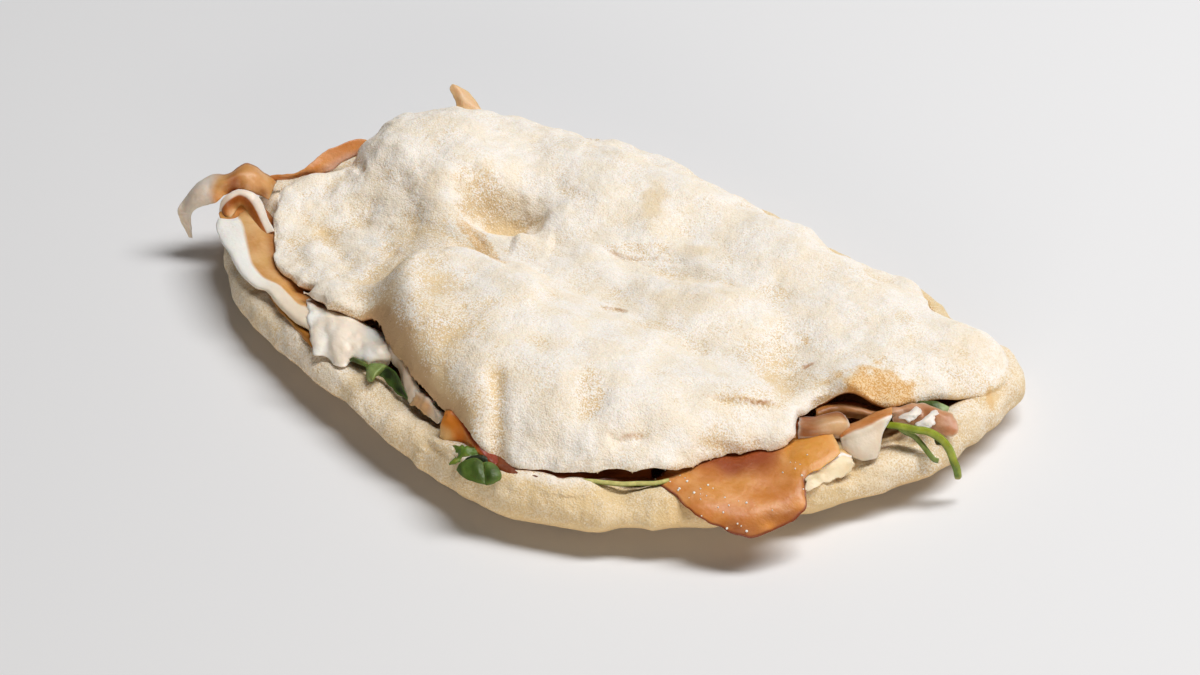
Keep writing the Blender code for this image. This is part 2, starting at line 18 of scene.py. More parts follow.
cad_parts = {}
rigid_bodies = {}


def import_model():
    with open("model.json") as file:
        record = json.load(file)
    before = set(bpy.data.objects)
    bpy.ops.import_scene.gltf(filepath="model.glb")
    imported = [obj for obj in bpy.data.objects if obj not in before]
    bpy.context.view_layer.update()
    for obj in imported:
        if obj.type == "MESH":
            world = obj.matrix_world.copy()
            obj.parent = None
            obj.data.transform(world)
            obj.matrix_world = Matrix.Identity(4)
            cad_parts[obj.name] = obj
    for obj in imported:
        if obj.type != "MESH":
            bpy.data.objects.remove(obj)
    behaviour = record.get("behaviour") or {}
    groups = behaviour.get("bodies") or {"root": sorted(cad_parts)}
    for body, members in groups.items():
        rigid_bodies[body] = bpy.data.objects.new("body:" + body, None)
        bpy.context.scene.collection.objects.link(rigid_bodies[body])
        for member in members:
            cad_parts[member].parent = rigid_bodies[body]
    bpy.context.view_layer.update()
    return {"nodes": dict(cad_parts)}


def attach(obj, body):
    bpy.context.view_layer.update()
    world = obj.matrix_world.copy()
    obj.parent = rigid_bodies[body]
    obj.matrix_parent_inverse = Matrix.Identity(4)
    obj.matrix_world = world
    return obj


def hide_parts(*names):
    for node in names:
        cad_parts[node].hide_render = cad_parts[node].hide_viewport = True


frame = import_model()
MM = 0.001
print("the frame holds", len(frame["nodes"]), "solids")

# %% [markdown]
# Places in this lesson are millimetres from a point near the middle of the bread, the one that the camera looks
# at. That point lies a little to the right of the middle of the whole sandwich, whose ham hangs out at its left.

# %% Places
MIDDLE = np.array((13.5, -3.5, 0.0))


def spot(x, y, z=0.0):
    """A place given in millimetres from the middle, in the frame's metres."""
    return Vector((np.array((x, y, z)) + MIDDLE) * MM)


def places_of(piece):
    """The places of a piece's points, in millimetres from the middle."""
    flat = np.empty(len(piece.data.vertices) * 3)
    piece.data.vertices.foreach_get("co", flat)
    return flat.reshape(-1, 3) / MM - MIDDLE


def put_places(piece, places):
    """Moves a piece's points to new places."""
    piece.data.vertices.foreach_set("co", ((places + MIDDLE) * MM).ravel())
    piece.data.update()


def normals_of(piece):
    """The directions that a piece's surface faces at its points."""
    flat = np.empty(len(piece.data.vertices) * 3)
    piece.data.vertex_normals.foreach_get("vector", flat)
    return flat.reshape(-1, 3)


def paint(piece, name, values):
    """Keeps a number for each point of a piece, which its finish can read."""
    layer = piece.data.attributes.new(name, "FLOAT", "POINT")
    layer.data.foreach_set("value", np.asarray(values, np.float32))


def paint_tones(piece, tones):
    """Keeps a colour for each point of a piece, which its finish can read."""
    layer = piece.data.attributes.new("tint", "FLOAT_COLOR", "POINT")
    layer.data.foreach_set("color", np.column_stack([tones, np.ones(len(tones))]).astype(np.float32).ravel())


# %% [markdown]
# ## Camera, table and light
# The photograph looks down on the sandwich from a little to its right, through a longish lens. Soft light comes
# from high up on the right and a little behind, so its short shadow falls towards us and to the left, and a low
# reflector in front brightens the bread's front.

# %% Camera
VIEW_TURN = math.radians(29)
VIEW_HEIGHT = math.radians(38)
VIEW_DISTANCE = 0.9
VIEW_LENS = 85

look_at = spot(0, 0, 12)
towards_camera = Vector((
    math.sin(VIEW_TURN) * math.cos(VIEW_HEIGHT),
    -math.cos(VIEW_TURN) * math.cos(VIEW_HEIGHT),
    math.sin(VIEW_HEIGHT),
))
bpy.ops.object.camera_add(location=look_at + towards_camera * VIEW_DISTANCE)
camera = bpy.context.object
camera.rotation_euler = (-towards_camera).to_track_quat("-Z", "Y").to_euler()
camera.data.lens = VIEW_LENS
bpy.context.scene.camera = camera
print("the camera stands at", [round(c, 3) for c in camera.location])

# %% Light
screen_right = Vector((math.cos(VIEW_TURN), math.sin(VIEW_TURN), 0))
screen_depth = Vector((-math.sin(VIEW_TURN), math.cos(VIEW_TURN), 0))


def soft_light(name, right, depth, height, width, breadth, power, colour=(1, 1, 1)):
    """A light that faces the sandwich, placed as the camera sees it, in metres; its width lies across the view."""
    place = look_at + screen_right * right + screen_depth * depth + Vector((0, 0, height))
    back = (place - look_at).normalized()
    side = (screen_right - back * screen_right.dot(back)).normalized()
    bpy.ops.object.light_add(type="AREA", location=place)
    light = bpy.context.object
    light.name = name
    light.rotation_euler = Matrix((side, back.cross(side), back)).transposed().to_euler()
    light.data.shape = "RECTANGLE"
    light.data.size = width
    light.data.size_y = breadth
    light.data.energy = power
    light.data.color = colour


TABLE_SIZE = 6
SKY_COLOUR = (1.0, 0.90, 0.78, 1.0)
SKY_STRENGTH = 0.03

soft_light("window_light", 0.80, 0.34, 1.72, 1.60, 0.45, 40.5)
soft_light("reflector", 0.05, -1.20, 0.24, 1.00, 0.25, 6, (1.0, 0.92, 0.82))
sky = bpy.data.worlds.new("sky")
sky.use_nodes = True
sky.node_tree.nodes["Background"].inputs["Color"].default_value = SKY_COLOUR
sky.node_tree.nodes["Background"].inputs["Strength"].default_value = SKY_STRENGTH
bpy.context.scene.world = sky
bpy.context.scene.view_settings.view_transform = "Standard"

# %% Table
bpy.ops.object.select_all(action="DESELECT")
bpy.ops.mesh.primitive_plane_add(size=TABLE_SIZE, location=(0, 0, 0))
table = bpy.context.object
table.name = "table"
print("the table is", round(table.dimensions.x, 1), "m wide")

# %% [markdown]
# ## Finishes written as sums
# A finish is a network of shader nodes. It is easier to read as sums, so one small class wraps a node's output
# and turns Python's signs into Math nodes, and one method adds any other node.

# %% Finishes
class Wire:
    """An output of a shader node, on which Python's sums add Math nodes."""

    def __init__(self, finish, socket):
        self.finish = finish
        self.socket = socket

    def sum(self, operation, *values):
        return self.finish.node("Math", {"operation": operation}, *values)

    def __add__(self, other):
        return self.sum("ADD", self, other)

    def __sub__(self, other):
        return self.sum("SUBTRACT", self, other)

    def __rsub__(self, other):
        return self.sum("SUBTRACT", other, self)

    def __mul__(self, other):
        return self.sum("MULTIPLY", self, other)

    def ramp(self, low, high):
        """Nought below low, one above high, and a smooth rise between them."""
        return self.finish.node("MapRange", {"interpolation_type": "SMOOTHSTEP"}, self, low, high)


class Finish:
    """A material on the Principled shader, with what is the same all over set on the shader itself."""

    def __init__(self, name, **constants):
        self.material = bpy.data.materials.new(name)
        self.material.use_nodes = True
        self.tree = self.material.node_tree
        self.shader = self.tree.nodes["Principled BSDF"]
        for socket, value in constants.items():
            self.shader.inputs[socket.replace("_", " ")].default_value = value

    def node(self, kind, settings=None, *values, output=0, **named):
        """Adds a node, with its settings, then the values or wires of its inputs in order or by name."""
        made = self.tree.nodes.new("ShaderNode" + kind)
        for setting, value in (settings or {}).items():
            setattr(made, setting, value)
        pairs = list(zip(made.inputs, values))
        pairs += [(made.inputs[name.replace("_", " ")], value) for name, value in named.items()]
        for socket, value in pairs:
            if isinstance(value, Wire):
                self.tree.links.new(value.socket, socket)
            else:
                socket.default_value = value
        return Wire(self, made.outputs[output])

    def painted(self, name):
        """A number that was painted on the piece."""
        return self.node("Attribute", {"attribute_name": name}, output="Fac")

    def grain(self, size, detail=2.0, roughness=0.5, stretch=(1, 1, 1)):
        """Cloudy noise round a half, with clouds of a size in millimetres."""
        where = self.node("TexCoord", output="Object")
        where = self.node("Mapping", {}, where, Scale=stretch)
        return self.node(
            "TexNoise", {}, where, Scale=1 / (size * MM), Detail=detail, Roughness=roughness, output="Fac"
        )

    def mix(self, amount, first, second):
        """A colour that goes from the first to the second."""
        made = self.tree.nodes.new("ShaderNodeMix")
        made.data_type = "RGBA"
        for socket, value in ((made.inputs["Factor"], amount), (made.inputs[6], first), (made.inputs[7], second)):
            if isinstance(value, Wire):
                self.tree.links.new(value.socket, socket)
            elif isinstance(value, tuple):
                socket.default_value = (*value, 1.0)
            else:
                socket.default_value = value
        return Wire(self, made.outputs[2])

    def bump(self, height, depth, under=None):
        """Small relief of a depth in millimetres."""
        values = {"Height": height, "Distance": depth * MM}
        if under is not None:
            values["Normal"] = under
        return self.node("Bump", {}, **values)

    def feed(self, **wires):
        """Links wires to the shader's sockets."""
        for name, wire in wires.items():
            self.tree.links.new(wire.socket, self.shader.inputs[name.replace("_", " ")])


def srgb(red, green, blue):
    """A colour given as it looks in the photograph, from 0 to 255, as the shader wants it."""
    parts = (red / 255, green / 255, blue / 255)
    return tuple(p / 12.92 if p <= 0.04045 else ((p + 0.055) / 1.055) ** 2.4 for p in parts)


def dress(piece, finish, slot, *nodes):
    """Gives a finished piece its finish, and hides the solids that it stands for."""
    piece.data.materials.clear()
    piece.data.materials.append(finish.material)
    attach(piece, "root")
    if nodes:
        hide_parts(*nodes)
    piece.data.calc_loop_triangles()
    print(piece.name, len(piece.data.loop_triangles), "triangles")


table_finish = Finish("pale_table", Roughness=0.6, Base_Color=(0.80, 0.80, 0.81, 1.0))
table.data.materials.append(table_finish.material)

# %% [markdown]
# ## Tools for the pieces
# The bread starts as a copy of its solid from the frame, whose loose triangles are merged. Smooth noise on a fixed
# lattice gives lumps that are the same each time.

# %% Tools
MERGE = 0.02


def only(piece):
    """Selects one piece alone."""
    bpy.ops.object.select_all(action="DESELECT")
    piece.select_set(True)
    bpy.context.view_layer.objects.active = piece


def edit_points(piece, chosen):
    """Opens a piece in edit mode with the chosen points selected."""
    only(piece)
    bpy.ops.object.mode_set(mode="EDIT")
    bpy.ops.mesh.select_mode(type="VERT")
    bpy.ops.mesh.select_all(action="DESELECT")
    bpy.ops.object.mode_set(mode="OBJECT")
    piece.data.vertices.foreach_set("select", chosen)
    bpy.ops.object.mode_set(mode="EDIT")


def merged_copy(node, name):
    """A copy of a solid of the frame as one skin."""
    piece = bpy.data.objects.new(name, frame["nodes"][node].data.copy())
    bpy.context.scene.collection.objects.link(piece)
    piece.data.materials.clear()
    only(piece)
    if piece.data.has_custom_normals:
        bpy.ops.mesh.customdata_custom_splitnormals_clear()
    bpy.ops.object.mode_set(mode="EDIT")
    bpy.ops.mesh.select_all(action="SELECT")
    bpy.ops.mesh.remove_doubles(threshold=MERGE * MM)
    bpy.ops.object.mode_set(mode="OBJECT")
    bpy.ops.object.shade_smooth()
    return piece


def apply(piece, kind, **settings):
    """Adds a modifier to a piece and applies it."""
    only(piece)
    modifier = piece.modifiers.new(kind.lower(), kind)
    for name, value in settings.items():
        setattr(modifier, name, value)
    bpy.ops.object.modifier_apply(modifier=modifier.name)


# The lattice that noise is drawn on, turned so that its grid doesn't lie along the axes
CELLS = 64
LATTICE = np.random.default_rng(11).uniform(-1, 1, (CELLS, CELLS, CELLS))
LATTICE_TURN = np.array(Matrix.Rotation(0.9, 3, (0.48, 0.62, 0.62)))
DRAW_SHIFT = 17.31


def cloud(places, size, draw=0.0):
    """Smooth noise from -1 to 1, with clouds of a size in millimetres."""
    grid = places @ LATTICE_TURN / size + draw * DRAW_SHIFT
    low = np.floor(grid).astype(int)
    share = grid - low
    share = share * share * (3 - 2 * share)
    total = np.zeros(len(places))
    for corner in np.ndindex(2, 2, 2):
        weight = np.prod(np.where(corner, share, 1 - share), axis=1)
        total += weight * LATTICE[tuple(((low + corner) % CELLS).T)]
    return total


def near_to(places, x, y, reach):
    """From above: one at a spot, fading away from it over a reach."""
    return np.exp(-((places[:, 0] - x) ** 2 + (places[:, 1] - y) ** 2) / reach**2)


def smoothly(values, low, high):
    """Nought below low, one above high, and a smooth rise between them."""
    share = np.clip((values - low) / (high - low), 0, 1)
    return share * share * (3 - 2 * share)


def within(share, start, full):
    """Full along the middle of a line, and nought at both of its ends."""
    return smoothly(share, start, full) * smoothly(1 - share, start, full)


def along_line(places, line):
    """From above: the distance to a line of places, which side of it, and the share along it."""
    line = np.array(line, float)
    lengths = np.linalg.norm(np.diff(line, axis=0), axis=1)
    starts = np.concatenate([[0], np.cumsum(lengths)])
    best = np.full(len(places), np.inf)
    side = np.zeros(len(places))
    share = np.zeros(len(places))
    for k, length in enumerate(lengths):
        way = (line[k + 1] - line[k]) / length
        off = places[:, :2] - line[k]
        along = np.clip(off @ way, 0, length)
        away = off - along[:, None] * way
        distance = np.hypot(away[:, 0], away[:, 1])
        nearer = distance < best
        best[nearer] = distance[nearer]
        side[nearer] = np.sign(off @ np.array((-way[1], way[0])))[nearer]
        share[nearer] = ((starts[k] + along) / starts[-1])[nearer]
    return best, side, share


# %% [markdown]
# ## The bread
# The real bread is one piece: two crusts that puffed apart and are still joined at the right tip. Its solid gives
# the form. Three things make it bread: a fine even skin of small faces, made by a voxel remesh, torn places cut
# into it before that, and lumps, cracks and ragged edges that move the skin's points afterwards.

# %% Torn places
# Each is an ellipsoid: its middle, half sizes and turns about Z and then about its own length, in degrees
TEARS = (
    ((-48, 8.5, 27.6), (12.0, 2.6, 3.6), -34, 0),
    ((-38.0, 1.0, 28.5), (4.8, 1.0, 3.7), -51, 10),
    ((-98.5, -32.5, 20), (2.6, 3.6, 4), 40, 0),
    ((-90, -33.5, 20), (5.0, 1.7, 4), 12, 0),
    ((-79.5, -39.0, 20), (3.4, 1.0, 3), 10, 0),
    ((-61.5, -39.5, 20), (3.5, 2.2, 6), 60, 0),
    ((-110, 29, 27), (8.5, 2.3, 3.6), -40, 0),
    ((80.6, -18.2, 23.5), (4.6, 2.4, 6), 118, 0),
)


def ellipsoid(middle, half_sizes, turn, roll):
    bpy.ops.object.select_all(action="DESELECT")
    bpy.ops.mesh.primitive_uv_sphere_add(segments=20, ring_count=12, radius=1, location=spot(*middle))
    made = bpy.context.object
    made.scale = [size * MM for size in half_sizes]
    made.rotation_euler = (math.radians(roll), 0, math.radians(turn))
    bpy.ops.object.transform_apply(location=False)
    return made


bread = merged_copy("flatbread", "bread")
for tear in TEARS:
    cutter = ellipsoid(*tear)
    apply(bread, "BOOLEAN", operation="DIFFERENCE", solver="MANIFOLD", object=cutter)
    bpy.data.objects.remove(cutter)
print("bread with its tears:", len(bread.data.vertices), "points")

# %% A fine skin
# The skin's grain in millimetres, and the rounds that take the voxels' stairs off it
SKIN = 0.98
SKIN_SMOOTHING = 7

apply(bread, "REMESH", mode="VOXEL", voxel_size=SKIN * MM)
apply(bread, "SMOOTH", factor=0.5, iterations=SKIN_SMOOTHING)
heights = places_of(bread)[:, 2]
edit_points(bread, np.arange(len(heights)) == heights.argmax())
bpy.ops.mesh.select_linked()
bpy.ops.mesh.select_all(action="INVERT")
bpy.ops.mesh.delete(type="VERT")
bpy.ops.object.mode_set(mode="OBJECT")
print("bread's skin:", len(bread.data.vertices), "points")

# %% [markdown]
# The skin's points are told apart by where they are. From above, the furthest points in each direction make a rim,
# and each point has a distance inside that rim.

# %% The rims
BREAD_MIDDLE = np.array((-5.0, 0.0))
# Heights in millimetres: one that only the upper crust reaches, and the spans in which that crust and its top begin
UPPER_CRUST = 18.0
SLIT_SPAN = (16.4, 17.4)
TOP_SPAN = (17.5, 19.5)


def polar(places):
    """From above: each place's direction and distance from the bread's middle."""
    off = places[:, :2] - BREAD_MIDDLE
    return np.arctan2(off[:, 1], off[:, 0]), np.hypot(off[:, 0], off[:, 1])


def rim_of(places, steps=720):
    """The furthest reach of some places in each direction."""
    angle, reach = polar(places)
    bins = ((angle + math.pi) / (2 * math.pi) * steps).astype(int) % steps
    furthest = np.zeros(steps)
    np.maximum.at(furthest, bins, reach)
    furthest = np.max([np.roll(furthest, k) for k in (-1, 0, 1)], axis=0)
    furthest = np.mean([np.roll(furthest, k) for k in range(-3, 4)], axis=0)
    middles = -math.pi + (np.arange(steps) + 0.5) * 2 * math.pi / steps
    return middles, furthest


def inset_from(rim, places):
    """How far inside a rim each place is."""
    angle, reach = polar(places)
    return np.interp(angle, rim[0], rim[1], period=2 * math.pi) - reach


places, normals = places_of(bread), normals_of(bread)
lower_rim = rim_of(places)
upper_rim = rim_of(places[places[:, 2] > UPPER_CRUST])
print("the upper crust reaches", round(float(upper_rim[1].max())), "mm from the middle")

# %% [markdown]
# A lip that is thinner than the skin's own grain comes out of the remesh as a row of little teeth, so the upper
# crust's lower edge is smoothed once more by itself.

# %% Smooth lips
LIP_WIDTH = 7.0
LIP_TOP = 25
LIP_SMOOTHING = 30
FAINT = 0.02

lips = bread.vertex_groups.new(name="lips")
lip = smoothly(LIP_WIDTH - inset_from(upper_rim, places), 0, 2.5) * smoothly(places[:, 2], 17.5, 18.5)
lip *= smoothly(LIP_TOP - places[:, 2], 0, 3)
for k in np.flatnonzero(lip > FAINT):
    lips.add([int(k)], float(lip[k]), "REPLACE")
apply(bread, "SMOOTH", factor=0.7, iterations=LIP_SMOOTHING, vertex_group="lips")
print("points on the lips:", int((lip > FAINT).sum()))
places, normals = places_of(bread), normals_of(bread)
upper_rim = rim_of(places[places[:, 2] > UPPER_CRUST])

# %% [markdown]
# A ray along a point's normal says whether the point is in the pocket. Deep in there nobody looks, and a coarse skin
# will do.

# %% The pocket's coarse skin
# Millimetres: how far a ray looks for the other crust, how high the resting face reaches, and how deep one sees into
# the pocket from the edge of the lower crust and of the upper one
POCKET_REACH = 60
RESTING = 1.5
SEEN_BELOW, SEEN_ABOVE = 5, 11
KEPT_SHARE = 0.06
RAY_LIFT = 0.4


def blocked(piece, places, directions, reach):
    """Whether a ray from each place meets the piece."""
    mesh = piece.data
    tree = BVHTree.FromPolygons([v.co for v in mesh.vertices], [tuple(p.vertices) for p in mesh.polygons])
    starts = (places + directions * RAY_LIFT + MIDDLE) * MM
    hits = [tree.ray_cast(Vector(a), Vector(b), reach * MM)[0] is not None for a, b in zip(starts, directions)]
    return np.array(hits)


def coarsen(piece, chosen, keep):
    """Collapses the faces whose points are all chosen, keeping a share of them."""
    edit_points(piece, chosen)
    bpy.ops.mesh.decimate(ratio=keep)
    bpy.ops.object.mode_set(mode="OBJECT")


def spread(piece, values, rounds):
    """Smooths numbers that a piece's points have, by means over each point's neighbours."""
    ends = np.empty(len(piece.data.edges) * 2, np.int32)
    piece.data.edges.foreach_get("vertices", ends)
    first, second = ends.reshape(-1, 2).T
    here, there = np.concatenate([first, second]), np.concatenate([second, first])
    count = np.bincount(here, minlength=len(values))
    values = np.array(values, float)
    for _ in range(rounds):
        values = 0.4 * values + 0.6 * np.bincount(here, values[there], minlength=len(values)) / count
    return values


deep = inset_from(upper_rim, places) > np.where(places[:, 2] > UPPER_CRUST, SEEN_ABOVE, SEEN_BELOW)
hidden = blocked(bread, places, normals, POCKET_REACH) & deep | (places[:, 2] < RESTING)
coarsen(bread, hidden, KEPT_SHARE)
print("bread's skin, coarse in the pocket:", len(bread.data.vertices), "points")

places, normals = places_of(bread), normals_of(bread)
# These look into the same numbers as places, so they follow each move of the points
x, y, z = places.T
upward = np.tile((0.0, 0.0, 1.0), (len(places), 1))
under_cover = blocked(bread, places, upward, POCKET_REACH)
in_pocket = blocked(bread, places, normals, POCKET_REACH) & under_cover
covered = spread(bread, under_cover, 6)
inside = spread(bread, in_pocket, 4)
from_lower = inset_from(lower_rim, places)
from_upper = inset_from(upper_rim, places)
top = smoothly(z, *TOP_SPAN) * (1 - covered)
print("points in the pocket:", int(in_pocket.sum()))

# %% [markdown]
# Grooves are soft valleys along a line. A step is a crack whose one side has sunk: it starts at full depth on the
# line and fades out to the line's left, as one walks along it. The edges of both crusts rise and sag as well.

# %% Grooves and steps
# A line of places, a width and a depth in millimetres; a swelling has a depth below nought
GROOVES = (
    (((-8, -52), (-3, -58), (1, -64), (5, -71), (7, -78)), 2.8, 2.3),
    (((-13, -56), (-9, -62), (-5, -70), (-2, -76)), 4.0, -0.8),
    (((-20, 28), (-8, 28), (-2, 31), (4, 35), (14, 34)), 2.0, 0.9),
    (((-60, 30), (-54, 27), (-46, 25), (-38, 26)), 6.0, -1.2),
    (((-42, 17), (-36, 19), (-29, 22)), 6.0, -2.2),
    (((-30, -40), (-20, -30), (-10, -26)), 5.0, 0.7),
    (((34, -58), (40, -55), (46, -50)), 2.2, 0.9),
    (((92, 26), (104, 30), (112, 36)), 4.0, 0.7),
    (((-104, 4), (-92, -6), (-84, -18), (-80, -30)), 5.0, 1.2),
    (((-96, 26), (-84, 20), (-74, 10), (-70, -2)), 4.0, 0.8),
    (((-61, 2), (-60, -10), (-57, -22), (-51, -33), (-42, -43), (-32, -51), (-22, -59)), 6.0, -2.4),
    (((16, -44), (24, -50), (30, -54)), 5.0, 0.9),
    (((44, -26), (48, -34), (50, -42)), 5.0, 0.8),
)
STEPS = (
    (((71, -19), (62, -26), (52, -31)), 3.2, 2.1),
    (((14, 35), (4, 33), (-6, 28), (-16, 27)), 3.6, 1.8),
    (((11, 0), (6, 0), (1, -4)), 2.5, 1.4),
    (((-39, 36), (-46, 33), (-55, 25)), 4.0, 1.2),
    (((44, -51), (38, -56), (33, -57)), 3.0, 1.3),
    (((-68, 40), (-72, 32), (-69, 22)), 3.5, 1.2),
    (((88, 26), (97, 31), (106, 33)), 4.0, 0.6),
)
# The upper crust's edge, where it sags onto the filling or stands up: a place, a reach and a rise
EDGE_RISES = (
    ((13, -72), 11, -3.6), ((28, -66), 11, -2.6), ((1, -76), 8, -1.8), ((44, -58), 9, -1.2),
    ((88, -3), 6, 4.0), ((83.5, -9.5), 3.5, -2.2), ((-63, -38), 6, -2.0), ((-56, -38), 8, -1.6),
    ((-47, -49), 9, -2.2), ((-35, -58), 9, -2.4), ((-23, -65), 9, -2.8), ((-12, -70), 8, -2.4), ((99, 1), 6, -1.4),
    ((62, -43), 9, -2.2), ((72, -31), 9, -2.4), ((53, -51), 7, -1.4),
    ((106, 9), 7, -2.6), ((115, 19), 7, -3.0), ((93, 56), 13, -3.2),
)
# Where the lower crust swells up to the filling, so that the slit is narrow: a line and a rise
LEDGES = (
    (((-20, -68), (-8, -73), (3, -76), (12, -77.5), (20, -75), (30, -70.5), (38, -65.5), (46, -60)), 2.9),
    (((103, -3), (110, 5), (117, 14), (122, 27)), 2.4),
)
# The lower crust's underside along its rim, where it stands further off the table: a place, a reach and a rise
RIM_RISES = (
    ((-56, -64), 16, 2.6), ((-40, -72), 14, 2.2), ((-75, -52), 12, 1.6), ((52, -66), 14, 2.0), ((72, -54), 14, 1.8),
)
print("the bread has", len(GROOVES), "grooves and", len(STEPS), "steps")

# %% Carve them
for line, width, depth in GROOVES:
    distance, side, share = along_line(places, line)
    z -= top * depth * within(share, -0.02, 0.2) * np.exp(-((distance / width) ** 2))
for line, width, depth in STEPS:
    distance, side, share = along_line(places, line)
    z -= top * depth * within(share, 0.0, 0.25) * np.exp(-distance / width) * smoothly(distance * side, -0.8, 1.4)
is_crust = smoothly(z, *SLIT_SPAN)
for place, reach, rise in EDGE_RISES:
    z += is_crust * rise * near_to(places, *place, reach)
for line, rise in LEDGES:
    distance, side, share = along_line(places, line)
    on_ledge = smoothly(9 - distance, 0, 8) * smoothly(SLIT_SPAN[1] - z, 0, 1.2) * smoothly(z, 10, 13)
    z += rise * within(share, -0.02, 0.2) * on_ledge
underside = smoothly(15 - z, 0, 8) * smoothly(24 - from_lower, 0, 16)
for place, reach, rise in RIM_RISES:
    z += underside * rise * near_to(places, *place, reach)
put_places(bread, places)
print("the bread stands", round(float(z.max()), 1), "mm high")

# %% [markdown]
# Dough that puffed and dried is lumpy at every size, most of all where it is thin and torn: on the left shelf, at
# the back and along the edges. The lumps move points along their normals, and the edges are also pulled in and
# out to make them ragged.

# %% Lumps and ragged edges
# The size and height of the lumps, in millimetres
LUMPS = ((22, 1.0), (11, 0.8), (5.5, 0.50), (2.9, 0.32), (1.5, 0.15))
# The upper crust's outline: a place, a reach, and how far it is pushed out
EDGE_PUSHES = (
    ((95, 56), 11, -7.5), ((112, 46), 7, 2.0), ((72, 62), 9, 1.5), ((-8, 84), 10, -1.6), ((20, 82), 9, 1.6),
)
# How wide the ragged border is, and how much a height counts there, so that a tear runs straight through the crust
EDGE = 4.0
SQUASH = (1, 1, 0.45)
# The opening on the right, where the edge is torn most: its middle and its reach
OPENING = (88, -8, 14)
# The bubble's left wall is smooth down to its edge
WALL = ((-66, 4), (-65, -12), (-62, -26), (-56, -38), (-47, -49), (-36, -58), (-24, -66), (-14, -72))

normals = normals_of(bread)
shelf = smoothly(-x, 66, 84) * (y < 34)
back_edge = smoothly(18 - from_upper, 0, 14) * smoothly(y, 20, 45)
wild = 0.58 + 0.7 * shelf + 0.5 * smoothly(8 - from_upper, 0, 8) + 1.6 * back_edge + 0.35 * cloud(places, 30, 3)
low_calm = 0.5 - 0.5 * smoothly(x, 25, 75) * smoothly(50 - y, 0, 20)
wild = np.clip(wild, 0.3, 2.2) * (1 - low_calm * smoothly(17 - z, 0, 3))
on_wall = smoothly(10 - along_line(places, WALL)[0], 0, 6) * smoothly(z, 16.2, 17.4)
wild *= 1 - 0.75 * on_wall
outside = 1 - 0.75 * covered * smoothly(z, 3, 6)
height = sum(cloud(places, size, k) * rise * np.minimum(wild, size / 3) for k, (size, rise) in enumerate(LUMPS))
flat_under = smoothly(z, 0.4, 5.0)
places += normals * (height * outside * flat_under)[:, None]

# %% Ragged edges
angle, reach = polar(places)
outward = np.column_stack([np.cos(angle), np.sin(angle), np.zeros(len(angle))])
squashed = places * SQUASH
torn = cloud(squashed, 11, 7) * 1.2 + cloud(squashed, 5, 8) * (0.8 - 0.5 * back_edge) + cloud(squashed, 2.4, 9) * 0.2
torn *= (1 - 0.85 * on_wall) * (1 + 0.35 * shelf + 0.7 * near_to(places, *OPENING))
upper_edge = smoothly(EDGE - from_upper, 0, EDGE) * smoothly(z, *SLIT_SPAN) * smoothly(from_lower, 1, 4)
lower_edge = smoothly(EDGE - from_lower, 0, EDGE) * (0.5 + 0.5 * smoothly(x, 25, 75))
places += outward * (torn * (upper_edge + lower_edge))[:, None]
lobes = cloud(squashed, 24, 10) * 2.4 * back_edge
for place, reach, push in EDGE_PUSHES:
    lobes += push * near_to(places, *place, reach)
places += outward * (lobes * smoothly(12 - from_upper, 0, 12))[:, None]
thin = smoothly(3 - from_upper, 0, 3) * smoothly(-normals[:, 2], 0, 0.5) * smoothly(z, *SLIT_SPAN)
z += thin * smoothly(from_lower, 1, 4) * 0.5
put_places(bread, places)
print("lumps up to", round(float(height.max()), 1), "mm high, edges torn by up to", round(float(torn.max()), 1), "mm")

# %% [markdown]
# Flour lies thick where the bread faces up, thin on its steep sides, and is rubbed off where it was torn. Some
# places are toasted, some are yellow from fat, and torn dough shows its brown crumb. Shade is painted as well: less
# flour in the hollows and towards the bubble's left wall, dark lines in the cracks and a darker tan on that wall and
# the underside; the lower crust is painted lighter at its left end and darker at its front right, as painted light
# and shade. Each of those amounts is painted on the skin for its finish.

# %% Flour, toast and crumb
# Zones: a middle and half sizes along and across the view in millimetres, and a strength
RUBBED = (
    ((-111, 29), (3.0, 8.0), 0.5),
    ((24, -51), (5.1, 15.5), 0.55), ((3, -52), (13.3, 23.2), 0.22), ((1, -64), (5.1, 20.6), 0.18),
    ((42, -36), (7.0, 11.3), 0.35), ((62, -23), (11.5, 4.0), 0.5), ((68, -6), (8.9, 11.3), 0.62),
    ((55, 5), (9.5, 13.4), 0.52), ((49, -57), (14.3, 7.2), 0.25), ((-28, -41), (12.7, 28.4), 0.45),
    ((-16, -64), (9.5, 12.9), 0.4), ((-62, 33), (8.9, 11.3), 0.6), ((-33, 48), (7.6, 7.2), 0.3),
    ((35, 1), (19.0, 9.3), 0.2), ((63, 17), (3.8, 7.2), 0.4), ((-104, -15), (9.5, 19.6), 0.38),
    ((-102, 7), (9.5, 10.3), 0.2), ((-116, 4), (7.0, 7.2), 0.25), ((-112, 23), (6.3, 7.2), 0.2),
    ((-4, 34), (10.8, 2.6), 0.35), ((66, -36), (12.7, 5.2), 0.25), ((24, -68), (15.9, 6.2), 0.10),
    ((111, 26), (8.9, 10.3), 0.45), ((82, 17), (12.7, 6.2), 0.2), ((-88, 35), (9.5, 7.2), 0.15),
    ((104, 13), (7.6, 6.2), 0.3),
)
FLOURED = (
    ((34, -60), (20, 8), 0.35), ((-16, -55), (5.5, 11), 0.3), ((72, 22), (14, 10), 0.2), ((30, -20), (12, 9), 0.2),
)
